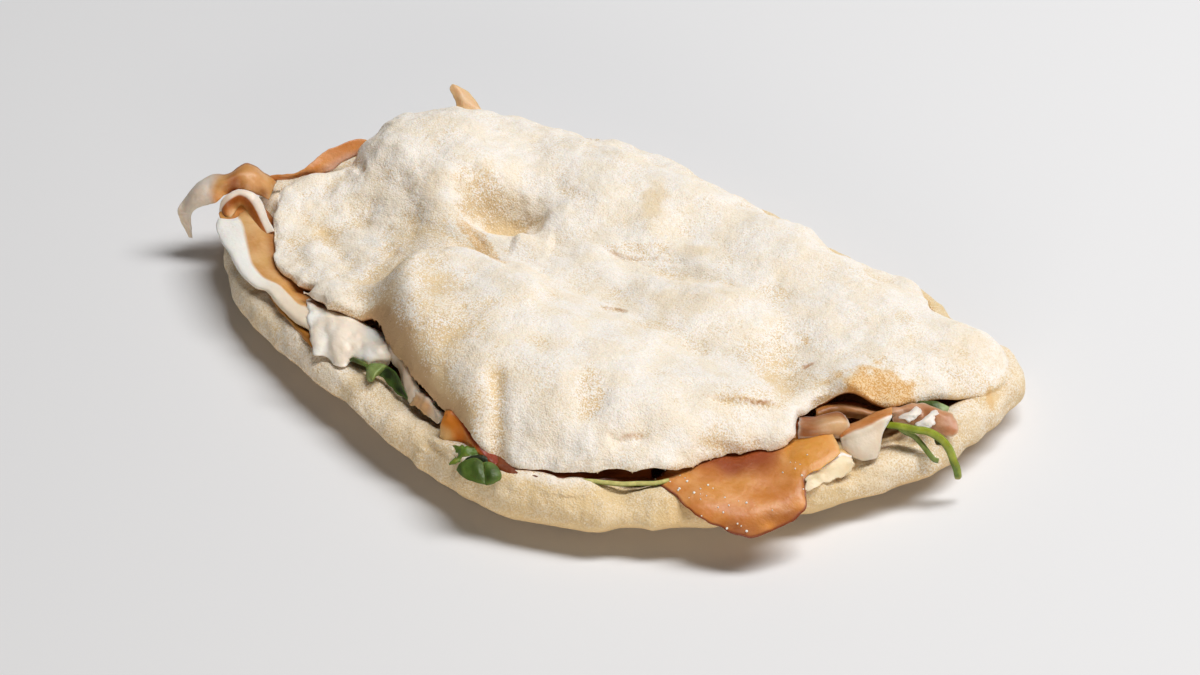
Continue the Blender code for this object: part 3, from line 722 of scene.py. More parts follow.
TOASTED = (
    ((104, -3), (3.5, 4.5), 0.7),
    ((95, 3), (11.4, 12.4), 0.92), ((-40, 11), (1.6, 3.1), 0.3), ((-40, 65), (2.2, 2.6), 0.3),
    ((122, 27), (1.6, 4.1), 0.6), ((87, 38), (3.2, 2.6), 0.28), ((60, -63), (9.5, 6.2), 0.5),
    ((49, -65), (9.5, 4.1), 0.3), ((64, 16), (1.3, 2.6), 0.5), ((-4, 34), (9.5, 1.5), 0.3),
    ((62, -25), (8.6, 1.0), 0.45), ((12, -78), (2.2, 2.1), 0.5), ((43, -52), (3.2, 1.0), 0.3),
    ((4, -2), (6.3, 1.0), 0.35),
)
YELLOWED = (
    ((-9, 53), (4.1, 7.2), 0.7), ((12, 39), (5.7, 3.6), 0.5), ((-15, -48), (9.5, 15.5), 0.2),
    ((26, 12), (12.7, 8.2), 0.25), ((-74, 19), (3.8, 8.2), 0.25), ((29, -77), (19.0, 5.2), 0.3),
    ((111, 35), (9.5, 8.2), 0.3), ((49, 44), (12.7, 6.2), 0.2), ((-28, -75), (14.7, 10.3), 0.35),
    ((83, -33), (9.5, 8.2), 0.3), ((101, -21), (15.9, 6.2), 0.25), ((-52, -65), (14.5, 15.5), 0.45),
    ((-105, -40), (8.3, 20.6), 0.5),
)
# Fine cracks in the upper crust, painted as dark lines of painted shade: a line, half its width and its strength
CRACK_SHADES = (
    (((71, -19), (66, -23), (60, -27), (52, -31)), 0.45, 1.0), (((14, 35), (4, 33), (-6, 28), (-16, 27)), 0.35, 0.7),
    (((11, 0), (6, 0), (1, -4)), 0.35, 0.8), (((44, -51), (38, -56), (33, -57)), 0.35, 0.6),
    (((-43, 4), (-39, 0.5), (-35, -3.5)), 1.3, 1.0), (((68.5, 5), (71.5, 7)), 1.2, 0.8),
)
# The torn strip beside the bubble
CREVICE = ((-60, 16), (-54, 12.5), (-47, 8), (-40, 2), (-34, -4))
print("rubbed places:", len(RUBBED), "toasted:", len(TOASTED), "yellow:", len(YELLOWED), "cracks:", len(CRACK_SHADES))

# %% Paint them
# The share of flour on either crust, what facing up adds to it and what rubbing takes off, and the flour taken
# off in hollows and towards the bubble's left wall, which is painted shade
UPPER_FLOUR, UPPER_LIT = 0.63, 0.42
LOWER_FLOUR, LOWER_LIT = 0.18, 0.32
RUBBED_OFF, HOLLOW_SHADE, WALL_SHADE_FALLOFF = 0.6, 0.5, 0.38


def zones(places, table, raggedness=0.5):
    """How strongly a table of zones marks each place: full in a zone's middle, nothing past its ragged edge."""
    marks = np.zeros(len(places))
    tatter = raggedness * (cloud(places, 5, 12) + 0.6 * cloud(places, 2.2, 13))
    for (x, y), (half_along, half_across), strength in table:
        off_x, off_y = places[:, 0] - x, places[:, 1] - y
        along = (off_x * math.cos(VIEW_TURN) + off_y * math.sin(VIEW_TURN)) / half_along
        across = (off_y * math.cos(VIEW_TURN) - off_x * math.sin(VIEW_TURN)) / half_across
        marks = np.maximum(marks, strength * smoothly(1.3 - np.hypot(along, across) - tatter, 0, 0.8))
    return marks


def hollowness(piece, rounds=40):
    """How far each point lies below the smoothed surface round it, in millimetres."""
    places = places_of(piece)
    smooth = np.column_stack([spread(piece, places[:, axis], rounds) for axis in range(3)])
    return ((smooth - places) * normals_of(piece)).sum(axis=1)


normals = normals_of(bread)
hollow = hollowness(bread)
lean = 0.25 * cloud(places, 9, 5) + 0.12 * cloud(places, 3, 6)
facing_up = smoothly(normals[:, 2] + lean, 0.0, 0.95)
is_upper = smoothly(z, *TOP_SPAN)
from_wall = along_line(places, WALL)[0]
upper_flour = UPPER_FLOUR + UPPER_LIT * facing_up - RUBBED_OFF * zones(places, RUBBED) + zones(places, FLOURED)
# Painted shade: less flour towards the bubble's left wall, so its side darkens gradually
upper_flour -= WALL_SHADE_FALLOFF * smoothly(28 - from_wall, 0, 22)
lower_flour = LOWER_FLOUR + LOWER_LIT * smoothly(normals[:, 2] + lean, -0.6, 0.6) + 0.16 * cloud(places, 7, 21)
# Painted light and shade: the lower crust's left end gets more flour and reads lit, its front right less and reads
# shaded
lower_flour += 0.18 * smoothly(-40 - x, 0, 20) + 0.06 * smoothly(x, 98, 114)
lower_flour -= 0.14 * smoothly(x, 40, 70) * smoothly(104 - x, 0, 16)
# Painted shade: less flour in the hollows, so they darken like shaded recesses
flour = lower_flour + (upper_flour - lower_flour) * is_upper - HOLLOW_SHADE * np.clip(hollow, -0.25, 0.5)
paint(bread, "flour", np.clip(flour * (1 - inside * 0.7), 0, 1))
strip = 3.2 - along_line(places, CREVICE)[0] + 1.1 * cloud(places, 3, 31) + 0.6 * cloud(places, 1.6, 32)
paint(bread, "toast", np.maximum(zones(places, TOASTED), 0.6 * smoothly(strip, 0, 0.9) * is_upper))
lower_yellow = 0.32 + 0.48 * smoothly(x, -60, 20) * smoothly(114 - x, 0, 16)
paint(bread, "yellow", np.maximum(zones(places, YELLOWED), lower_yellow * (1 - is_upper) * (1 - inside)))
# Painted shade: dark lines along the cracks, kept in the crumb amount
cracks = np.zeros(len(places))
for line, half_width, strength in CRACK_SHADES:
    distance, side, share = along_line(places, line)
    dark = smoothly(half_width + 0.5 * cloud(places, 3, 41) - distance, 0, 0.7)
    cracks = np.maximum(cracks, strength * within(share, -0.02, 0.15) * dark)
# The crumb amount holds the brown crumb in the pocket and the painted shade in the cracks
paint(bread, "crumb", np.maximum(smoothly(inside, 0.3, 0.8), cracks * is_upper))
# Painted shade: the bubble's left wall loses flour and turns a darker tan, partly its bare crust and partly painted
# shade
wall_shade_tan = on_wall * smoothly(0.75 - normals[:, 2] + 0.4 * lean, 0, 0.35) * is_upper
# Painted shade: a darker tan on the lower crust's underside
under_shade = 0.9 * smoothly(-normals[:, 2], 0.1, 0.7) * (1 - is_upper) * (1 - inside)
paint(bread, "wall", np.maximum(wall_shade_tan, under_shade))
print("the deepest hollow lies", round(float(hollow.max()), 2), "mm under the skin round it")

# %% [markdown]
# ### The bread's finish
# Flour is tiny grains, so it doesn't fade out: where there is less of it the grains lie further apart, and the tan
# crust shows between them. A fine grain is compared with the painted amount, which gives that speckle.

# %% Floured crust
crust = Finish("floured_crust", Roughness=0.9, Subsurface_Weight=0.12, Subsurface_Scale=2.0 * MM)
crust.shader.inputs["Specular IOR Level"].default_value = 0.2
crust.shader.inputs["Subsurface Radius"].default_value = (1.0, 0.7, 0.45)
# The flour's own grain, the tufts it gathers in, and the wide patches where more or less of it lies
fine = crust.grain(0.5, 1.0)
coarse = crust.grain(2.4, 2.0)
patches = crust.grain(14, 3.0)
flour_amount = crust.painted("flour") + (patches - 0.5) * 0.75 - crust.painted("toast") * 0.5
# The painted wall amount holds painted shade on the bubble's left wall and the underside, and takes flour off there
flour_amount = flour_amount - crust.painted("wall") * 0.6
speckle = ((flour_amount - 0.5) * 2.4 + (fine - 0.5) * 4.8 + (coarse - 0.5) * 0.7 + 0.42).ramp(0.05, 0.95)
# The crust without flour
bare = crust.mix(patches.ramp(0.35, 0.7), srgb(230, 204, 162), srgb(216, 186, 142))
# Painted shade: a darker tan where the wall amount is painted, on the bubble's left wall and the underside
bare = crust.mix(crust.painted("wall"), bare, srgb(206, 172, 132))
bare = crust.mix(crust.painted("toast").ramp(0.2, 1.1), bare, srgb(214, 160, 90))
# Brown crumb in the pocket, and painted shade in the cracks
bare = crust.mix(crust.painted("crumb"), bare, srgb(150, 92, 48))
# The crust under flour: white where it lies thick, and tan between the grains where it is thin
dusted = crust.mix(crust.grain(9, 3.0).ramp(0.42, 0.62), srgb(250, 243, 234), srgb(247, 236, 219))
thick = flour_amount.ramp(0.72, 1.08)
dusted = crust.mix(crust.grain(0.65, 2.0).ramp(0.46, 0.62) * (0.72 - thick * 0.46), dusted, srgb(228, 206, 170))
dusted = crust.mix(crust.painted("toast").ramp(0.3, 1.0) * 0.75, dusted, srgb(236, 196, 134))
# The same crumb, and painted shade in the cracks, where flour lies
dusted = crust.mix(crust.painted("crumb"), dusted, srgb(190, 134, 82))
# Both, told apart by the speckle, and the yellow of fat that soaked in
crust_colour = crust.mix(speckle, bare, dusted)
crust.feed(Base_Color=crust.mix(crust.painted("yellow") * 0.7, crust_colour, srgb(228, 200, 148)))
relief = crust.bump(fine, 0.25)
crust.feed(Normal=crust.bump(crust.grain(1.6, 3.0, 0.6), 0.35, relief))
dress(bread, crust, "crust", "flatbread")

# %% [markdown]
# ## The ham
# Thin slices of cured, smoked ham hang out of the slit all round: lean meat, orange brown and a little see
# through, with a rind of white fat. A slice is a grid that is laid through rows of places, crumpled by noise, made
# ragged along its border and then given a thickness. Its colours are painted on it as tones that blend; among them
# is painted shade where slices go under the bread or fold, and painted light where light shines through.

# %% Sheets
def through(points, shares):
    """A smooth curve through points, at shares of its way from 0 to 1."""
    points = np.asarray(points, float)
    last = len(points) - 1
    at = np.clip(shares, 0, 1) * last
    k = np.minimum(at.astype(int), last - 1)
    t = (at - k).reshape(-1, *[1] * (points.ndim - 1))
    ends = (2 * points[:1] - points[1:2], points, 2 * points[-1:] - points[-2:-1])
    a, b, c, d = (np.concatenate(ends)[k + j] for j in range(4))
    return 0.5 * (2 * b + (c - a) * t + (2 * a - 5 * b + 4 * c - d) * t**2 + (3 * b - a - 3 * c + d) * t**3)


def lengths_along(surface, axis):
    """Millimetres from the surface's start along one of its two ways."""
    steps = np.linalg.norm(np.diff(surface, axis=axis), axis=2)
    start = np.zeros_like(np.take(steps, [0], axis=axis))
    return np.concatenate([start, np.cumsum(steps, axis=axis)], axis=axis)


class Spot:
    """What a slice's painter may ask about its points: shares along and across, distance from the border, place."""

    def __init__(self, along, across, rim, places):
        self.along, self.across, self.rim, self.places = along, across, rim, places

    def noise(self, size, draw):
        return cloud(self.places, size, draw)


# Noise has a second, finer part; a border this wide in millimetres is ragged, and one this wide thins out
FINER = 0.45
RAGGED_WIDTH = 3.0
THIN_WIDTH = 2.5
THIN_SHARE = 0.35


def sheet(rows, colours, fineness=0.7, thickness=0.9, crumple=(6, 0.5), ragged=(3, 0.5), draw=1):
    """A thin sheet through rows of places, all with the same number of places."""
    rows = np.array(rows, float)
    count_along = int(np.linalg.norm(np.diff(rows, axis=1), axis=2).sum(axis=1).max() / fineness) + 2
    count_across = int(np.linalg.norm(np.diff(rows, axis=0), axis=2).sum(axis=0).max() / fineness) + 2
    bpy.ops.object.select_all(action="DESELECT")
    bpy.ops.mesh.primitive_grid_add(x_subdivisions=count_along - 1, y_subdivisions=count_across - 1, size=1)
    made = bpy.context.object
    shares = np.empty(len(made.data.vertices) * 3)
    made.data.vertices.foreach_get("co", shares)
    shares = shares.reshape(-1, 3) + 0.5
    column = np.rint(shares[:, 0] * (count_along - 1)).astype(int)
    row = np.rint(shares[:, 1] * (count_across - 1)).astype(int)
    surface = through(rows.transpose(1, 0, 2), np.linspace(0, 1, count_along))
    surface = through(surface.transpose(1, 0, 2), np.linspace(0, 1, count_across))
    way_along, way_across = np.gradient(surface, axis=1), np.gradient(surface, axis=0)
    way_along /= np.linalg.norm(way_along, axis=2, keepdims=True) + 1e-9
    way_across /= np.linalg.norm(way_across, axis=2, keepdims=True) + 1e-9
    facing = np.cross(way_along, way_across)
    along, across = lengths_along(surface, 1), lengths_along(surface, 0)
    far_along, far_across = along[:, -1:] - along, across[-1:] - across
    flat = surface.reshape(-1, 3)
    tatter = cloud(flat, ragged[0], draw + 5) + 0.5 * cloud(flat, ragged[0] * FINER, draw + 6)
    tatter = (tatter * ragged[1]).reshape(along.shape + (1,))
    shift = 0
    for distance, way in ((along, -way_along), (far_along, way_along), (across, -way_across), (far_across, way_across)):
        shift = shift + way * tatter * smoothly(RAGGED_WIDTH - distance, 0, RAGGED_WIDTH)[..., None]
    folds = cloud(flat, crumple[0], draw) + 0.4 * cloud(flat, crumple[0] * FINER, draw + 3)
    surface = surface + shift + facing * (folds * crumple[1]).reshape(along.shape + (1,))
    rim = np.minimum(np.minimum(along, far_along), np.minimum(across, far_across))
    put_places(made, surface[row, column])
    spots = Spot(shares[:, 0], shares[:, 1], rim[row, column], surface[row, column])
    paint_tones(made, colours(spots))
    group = made.vertex_groups.new(name="thick")
    for k, weight in enumerate(THIN_SHARE + (1 - THIN_SHARE) * smoothly(spots.rim, 0, THIN_WIDTH)):
        group.add([k], float(weight), "REPLACE")
    apply(made, "SOLIDIFY", thickness=thickness * MM, offset=0, vertex_group="thick")
    bpy.ops.object.shade_smooth()
    return made


def joined(name, *parts):
    """One piece from several sheets."""
    only(parts[0])
    for part in parts[1:]:
        part.select_set(True)
    if len(parts) > 1:
        bpy.ops.object.join()
    parts[0].name = name
    return parts[0]


def blend(share, first, second):
    """A tone between two, or between arrays of them."""
    share = np.clip(np.asarray(share, float), 0, 1)[:, None]
    return np.asarray(first) * (1 - share) + np.asarray(second) * share


# %% Tones of ham
SALT = srgb(255, 250, 238)
LEAN = srgb(206, 132, 68)
AMBER = srgb(206, 114, 38)
DARK_RED = srgb(108, 34, 16)
PINK = srgb(212, 166, 132)
FAT = srgb(255, 247, 238)
CREAM = srgb(246, 222, 188)
YELLOW_FAT = srgb(248, 216, 174)

ham = Finish(
    "smoked_ham", Roughness=0.42, Subsurface_Weight=0.35, Subsurface_Scale=1.8 * MM, Coat_Weight=0.08,
    Coat_Roughness=0.22,
)
ham.shader.inputs["Specular IOR Level"].default_value = 0.35
ham.shader.inputs["Subsurface Radius"].default_value = (1.0, 0.6, 0.4)
fibres = ham.grain(6, 4.0, 0.55, stretch=(0.9, 1.2, 1.0))
spots = ham.grain(1.4, 3.0, 0.6)
tint = ham.node("Attribute", {"attribute_name": "tint"}, output="Color")
deeper = ham.node("HueSaturation", {}, Color=tint, Saturation=1.18, Value=0.82)
paler = ham.node("HueSaturation", {}, Color=tint, Saturation=0.94, Value=1.08)
shade = ham.mix((fibres * 0.7 + spots * 0.3).ramp(0.36, 0.66), deeper, paler)
lean = ham.node("SeparateColor", {"mode": "HSV"}, tint, output="Green").ramp(0.3, 0.8)
ham.feed(Base_Color=ham.mix(lean * 0.35 + 0.12, tint, shade))
ham.feed(Normal=ham.bump(spots, 0.18, ham.bump(fibres, 0.35)))
print("the ham's finish has", len(ham.tree.nodes), "nodes")


def plain(first, second=None, size=6, draw=1, amount=0.5):
    """A painter of one tone, or of two in clouds."""
    second = first if second is None else second
    return lambda at: blend(0.5 + amount * 2 * at.noise(size, draw), first, second)


# %% The tongue in front
TONGUE = (
    ((51.3, -40.6, 17.6), (56, -37.2, 17.8), (60.1, -34.2, 18), (64.2, -30.3, 18), (67.2, -26.8, 18.2),
     (69.8, -23.2, 18.6), (71.7, -20.3, 19.2), (73.9, -18, 20), (78.9, -16.1, 21), (82.6, -12.7, 21.6)),
    ((51.2, -49.4, 17.7), (56.9, -44.9, 17.9), (62.7, -41.8, 18), (67.9, -38.9, 17.9), (71.5, -34.8, 17.9),
     (74.1, -29.9, 18.1), (75.8, -26.6, 18.7), (78.3, -23.7, 18.8), (82.8, -20.2, 20.5), (85.8, -16.1, 21.8)),
    ((50.9, -54, 17.2), (58.6, -52.1, 17.8), (66.2, -51.2, 18), (73.4, -49.8, 17.6), (78.2, -46.3, 17.4),
     (81.6, -39.9, 17.8), (82.8, -35.6, 18.6), (83.8, -30.4, 19.8), (87.4, -25, 21.2), (89.8, -18.4, 22)),
    ((50.6, -56.5, 17.4), (59, -57.2, 17.9), (68.3, -59.2, 17.6), (76.6, -58.6, 16.4), (82.9, -54.9, 16.2),
     (88.6, -46, 17.2), (88.9, -40.7, 18.4), (87.4, -34.4, 19.6), (90.4, -28.6, 20.8), (92.7, -21, 21.6)),
    ((50, -57.9, 17.4), (58.7, -61, 17.2), (69, -64.3, 15.2), (78, -63, 12.6), (86, -60.1, 11.8), (94.3, -47.5, 15),
     (92.2, -42.1, 17), (89.7, -36.4, 19), (92.5, -31.3, 20), (95.5, -24, 20.8)),
)
TONGUE_MARGIN = (
    ((87, -32.7, 17.9), (88.6, -30, 18.1), (90.5, -26.4, 18.5), (92.2, -22.3, 18.9), (93.7, -20.1, 19.1),
     (96.3, -19.2, 18.7)),
    ((89.5, -36.3, 18.2), (90.6, -33.6, 18.6), (92.3, -30.3, 19), (94.1, -25.7, 19.4), (95.2, -23, 19.4),
     (97.5, -21.7, 18.6)),
    ((89.9, -37.3, 17.2), (91.8, -34.5, 17.4), (93.5, -31.2, 17.6), (96, -27.5, 17.8), (97.4, -24.9, 18),
     (98.7, -22.9, 17.8)),
    ((90.7, -39.7, 16.1), (93.1, -37.1, 16.3), (95.5, -33.2, 16.3), (97.6, -29.4, 16.3), (98.8, -25.6, 16.3),
     (99.3, -22.5, 16.5)),
)


def tongue_colours(at):
    meat = blend(0.5 + at.noise(7, 1) + 0.5 * at.noise(2.5, 2), LEAN, srgb(220, 154, 90))
    meat = blend(smoothly(at.along, 0.5, 0.8) * 0.5, meat, srgb(216, 150, 84))
    meat = blend(smoothly(at.along, 0.86, 0.95) * smoothly(2.6 - at.rim, 0, 2.2) * 0.8, meat, CREAM)
    # Partly painted light: golden amber towards the right, where light shines through the thin meat
    meat = blend(smoothly(at.along, 0.62, 0.85) * 0.75, meat, srgb(228, 156, 60))
    # Painted shade: darker brown on the low part that hangs over the table's shadow
    low = smoothly(at.across, 0.72, 0.95) * smoothly(at.along, 0.22, 0.4) * smoothly(0.84 - at.along, 0, 0.12)
    meat = blend(low * (0.7 + 0.8 * at.noise(4, 7)), meat, srgb(150, 82, 32))
    # Painted shadow: dark red brown along the top, under the bread's edge
    bread_shadow_reach = 0.52 - 0.20 * smoothly(at.along, 0.55, 0.85)
    shade = smoothly(bread_shadow_reach - at.across + 0.07 * at.noise(6, 4), 0, 0.24)
    meat = blend(shade * 0.95, meat, srgb(144, 60, 6))
    left_edge = smoothly(1.1 - at.rim, 0, 0.9) * smoothly(0.78 - at.along, 0, 0.05)
    return blend(left_edge * 0.9, meat, DARK_RED)


def margin_colours(at):
    fat = blend(0.5 + at.noise(4, 3), YELLOW_FAT, CREAM)
    fat = blend(smoothly(0.45 - at.across + 0.1 * at.noise(3, 6), 0, 0.4) * 0.75, fat, srgb(226, 168, 92))
    curl_line = smoothly(0.07 - np.abs(at.across - 0.30 + 0.03 * at.noise(4, 5)), 0, 0.04)
    return blend(curl_line, fat, FAT)


tongue = sheet(TONGUE, tongue_colours, fineness=0.65, thickness=0.75, crumple=(8, 0.45), ragged=(4, 0.5), draw=3)
margin = sheet(TONGUE_MARGIN, margin_colours, thickness=0.4, crumple=(2.6, 0.35), ragged=(2, 0.9), draw=4)


GRAINS = 44
GRAIN_SIZES = (0.18, 0.22, 0.26, 0.36)
# Grains lie on the slice's upper side, few of them behind this line and more in front of it
FEW_BEHIND = -52
FEW = 0.15


def crumbs(piece, count, draw):
    """Grains of salt and flour that lie on a slice, more of them near its front border."""
    draws = random.Random(draw)
    places, normals = places_of(piece), normals_of(piece)
    upper = [
        k for k in range(len(places))
        if normals[k, 2] > 0.3 and (draws.random() < FEW or places[k, 1] < FEW_BEHIND)
    ]
    made = []
    for k in draws.sample(upper, count):
        bpy.ops.object.select_all(action="DESELECT")
        size = draws.choice(GRAIN_SIZES)
        bpy.ops.mesh.primitive_ico_sphere_add(subdivisions=2, radius=size * MM, location=(0, 0, 0))
        grain = bpy.context.object
        squash = np.array([draws.uniform(0.7, 1.3) for _ in range(3)])
        put_places(grain, (places_of(grain) + MIDDLE) * squash + places[k] + normals[k] * size * 0.3)
        paint_tones(grain, np.tile(SALT, (len(grain.data.vertices), 1)))
        made.append(grain)
    return made


grains = crumbs(tongue, GRAINS, 5)
dress(joined("tongue_slice", tongue, margin, *grains), ham, "ham", "ham_slice_tongue")

# %% The slices in the opening on the right
ROLL = (
    ((76.6, -14.2, 20.6), (80.3, -12.9, 21.2), (83.8, -10.5, 21.6), (86.8, -8.5, 21.8), (89.1, -8.3, 21.4)),
    ((78.5, -18.3, 22.6), (82.3, -17.3, 23.2), (85.7, -14.9, 23.8), (89, -12.8, 24), (91.7, -12.1, 23.2)),
    ((79.7, -20.9, 23.2), (83.8, -20.5, 23.8), (87.4, -17.7, 24.4), (90.4, -15, 24.4), (93, -13.5, 23.2)),
    ((80.3, -22.1, 22), (84.2, -21.3, 22.6), (87.9, -19.3, 23), (90.7, -16.9, 22.8), (92.9, -14.3, 21.8)),
    ((80.8, -22.8, 20), (84.5, -21.6, 20.6), (88.1, -19.6, 21), (90.8, -18.1, 20.6), (92.1, -16, 20)),
)
CONE = (
    ((90.1, -17.9, 19.4), (91.4, -12.4, 21), (94, -8.3, 21.8), (96.6, -3.9, 22.4), (100.6, 0.2, 23)),
    ((91.2, -17.6, 20.6), (93.3, -13.8, 22.4), (96.4, -10.8, 23.6), (99.5, -7.8, 24.6), (102.5, -4.3, 25.6)),
    ((92, -18.5, 21.2), (95.5, -16.6, 23.2), (98.7, -13.8, 24.6), (101.2, -10.1, 25.8), (103.6, -6.4, 26)),
    ((92.4, -18.8, 20.6), (96.3, -17.5, 22), (99.6, -14.9, 23), (101.9, -11.5, 23.8), (103.2, -7.9, 24.4)),
    ((93.6, -19.7, 19.4), (97.6, -19.3, 20.4), (100.9, -17.3, 21), (102.8, -14.4, 21.6), (102.7, -10.7, 22)),
    ((95.1, -20.1, 18), (98.4, -20.1, 18.6), (101.5, -18.4, 19), (103.4, -16.1, 19.2), (103.1, -12.8, 19.8)),
    ((96.8, -20, 17), (99.6, -19.7, 17.2), (102.1, -18.8, 17.4), (103.7, -17.2, 17.4), (103.5, -14.1, 17.8)),
)
LIP_FOLD = (
    ((78.6, -7, 19.4), (81.3, -3.6, 19.6), (84.5, -0.5, 19.8), (89, 0.7, 19.6), (93.6, 1, 19.2), (98.3, 1.5, 18.8)),
    ((80.2, -10, 21), (82.9, -6.6, 21.4), (86.3, -3.9, 21.6), (90.7, -2.5, 21.2), (95.1, -2, 20.8), (99.6, -0.8, 20)),
    ((81.3, -11.5, 20.6), (83.9, -7.9, 21), (87.4, -5.5, 21.2), (91.8, -4.1, 20.8), (96.1, -3.3, 20.4),
     (100.2, -1.9, 19.6)),
    ((81.7, -11.3, 18.6), (84.6, -8.3, 18.8), (88.1, -5.8, 18.8), (92.1, -4.4, 18.6), (96.3, -3.4, 18.4),
     (100.2, -1.8, 18)),
)
FLAP = (
    ((98.7, 1.9, 20.6), (101.3, 4.1, 21.2), (104.1, 6.8, 21.6), (107.5, 8.1, 21.2), (111, 8.4, 21.2),
     (113.8, 9.5, 20.4), (116.5, 10.2, 19.8)),
    ((100.6, -1.1, 22), (102.8, 2.2, 22), (105.9, 3.1, 22.6), (109, 4.6, 21.6), (112.4, 5.6, 22.4), (115.3, 6.7, 21),
     (118.1, 8, 20.4)),
    ((101.3, -1, 20.6), (103.9, 1.2, 21.2), (107.2, 2, 21.2), (110.6, 2.5, 20.8), (113.8, 4.3, 21.2),
     (116.8, 5.7, 20.4), (119.9, 6.1, 19.8)),
    ((101.8, -1.2, 19.8), (104.5, 0.8, 19.8), (108.1, 0.9, 20), (111.3, 1.9, 19.2), (114.8, 2.8, 19.8),
     (117.8, 3.6, 19.2), (120.6, 4.1, 18.8)),
    ((102.3, -0.6, 18.4), (105.4, 0.5, 18.4), (108.8, 1.1, 18.2), (112.2, 1.6, 18), (115.6, 1.3, 18),
     (118.6, 1.4, 17.8), (119.6, 2.8, 17.8)),
)
SPIKE_LEFT = (
    ((104.4, -2.9, 22.4), (106.7, -2.9, 22.6), (108.7, -2.3, 22.2)),
    ((104.6, -1.4, 23), (106.8, -1, 23.2), (109, -0.8, 22.8)),
    ((105.6, 0.8, 23.4), (107.2, 0.8, 23.4), (109.1, 0.8, 23)),
    ((107, 3.7, 23.4), (108, 3.5, 23.4), (108.9, 3.1, 23)),
)
SPIKE_RIGHT = (
    ((109.4, -2.5, 22.2), (111.8, -2.5, 22), (113.9, -2.1, 21.4)),
    ((110.3, -0.1, 22.8), (112.3, -0.1, 22.8), (114.2, 0.2, 22.2)),
    ((111.4, 2.6, 23.2), (112.8, 2.3, 23.2), (114.2, 2.3, 22.6)),
    ((112.5, 5.1, 23.4), (113.7, 4.7, 23.4), (114.4, 4.6, 23)),
)


def cone_colours(at):
    white = blend(0.5 + at.noise(5, 2), srgb(236, 220, 200), srgb(228, 208, 184))
    white = blend(smoothly(at.along, 0.75, 1.0), white, FAT)
    face = blend(0.5 + at.noise(5, 3), srgb(204, 128, 70), srgb(216, 150, 94))
    return blend(smoothly(at.across + 0.02 * at.noise(3, 5), 0.29, 0.35), face, white)


def flap_colours(at):
    pink = blend(0.5 + at.noise(4, 2), PINK, srgb(190, 134, 96))
    pink = blend(smoothly(at.noise(2.6, 9), 0.15, 0.5) * 0.7, pink, srgb(164, 104, 76))
    return blend(smoothly(0.7 - at.rim, 0, 0.6) * 0.6, pink, srgb(232, 206, 184))


def roll_colours(at):
    meat = blend(0.5 + at.noise(4, 2), srgb(222, 184, 142), srgb(204, 156, 110))
    # Painted shade: darker on the roll's back flank and its left end, inside the fold
    meat = blend(smoothly(0.35 - at.across, 0, 0.3), meat, srgb(150, 90, 54))
    meat = blend(smoothly(0.62 - at.along, 0, 0.45) * 0.7, meat, srgb(150, 84, 48))
    return blend(smoothly(0.9 - at.rim, 0, 0.8) * 0.5, meat, FAT)


roll = sheet(ROLL, roll_colours, thickness=0.6, crumple=(5, 0.35), ragged=(3, 0.4), draw=5)
dress(joined("inner_roll", roll), ham, "ham", "ham_roll_inside")
cone = sheet(CONE, cone_colours, crumple=(6, 0.4), ragged=(3, 0.5), draw=6)
lip_fold = sheet(LIP_FOLD, plain(srgb(170, 112, 66), srgb(196, 142, 94)), thickness=0.7, crumple=(5, 0.5), draw=30)
dress(joined("right_fold", cone, lip_fold), ham, "fat", "ham_fold_right")
flap = sheet(FLAP, flap_colours, fineness=0.6, thickness=0.6, crumple=(4, 0.5), ragged=(3, 0.9), draw=7)
white = plain(srgb(255, 246, 236), srgb(246, 230, 214))
spikes = [
    sheet(SPIKE_LEFT, white, fineness=0.5, thickness=0.45, crumple=(2, 0.4), ragged=(1.5, 0.8), draw=8),
    sheet(SPIKE_RIGHT, white, fineness=0.5, thickness=0.45, crumple=(2, 0.4), ragged=(1.5, 0.8), draw=9),
]
dress(joined("right_flap", flap, *spikes), ham, "ham", "ham_flap_right")

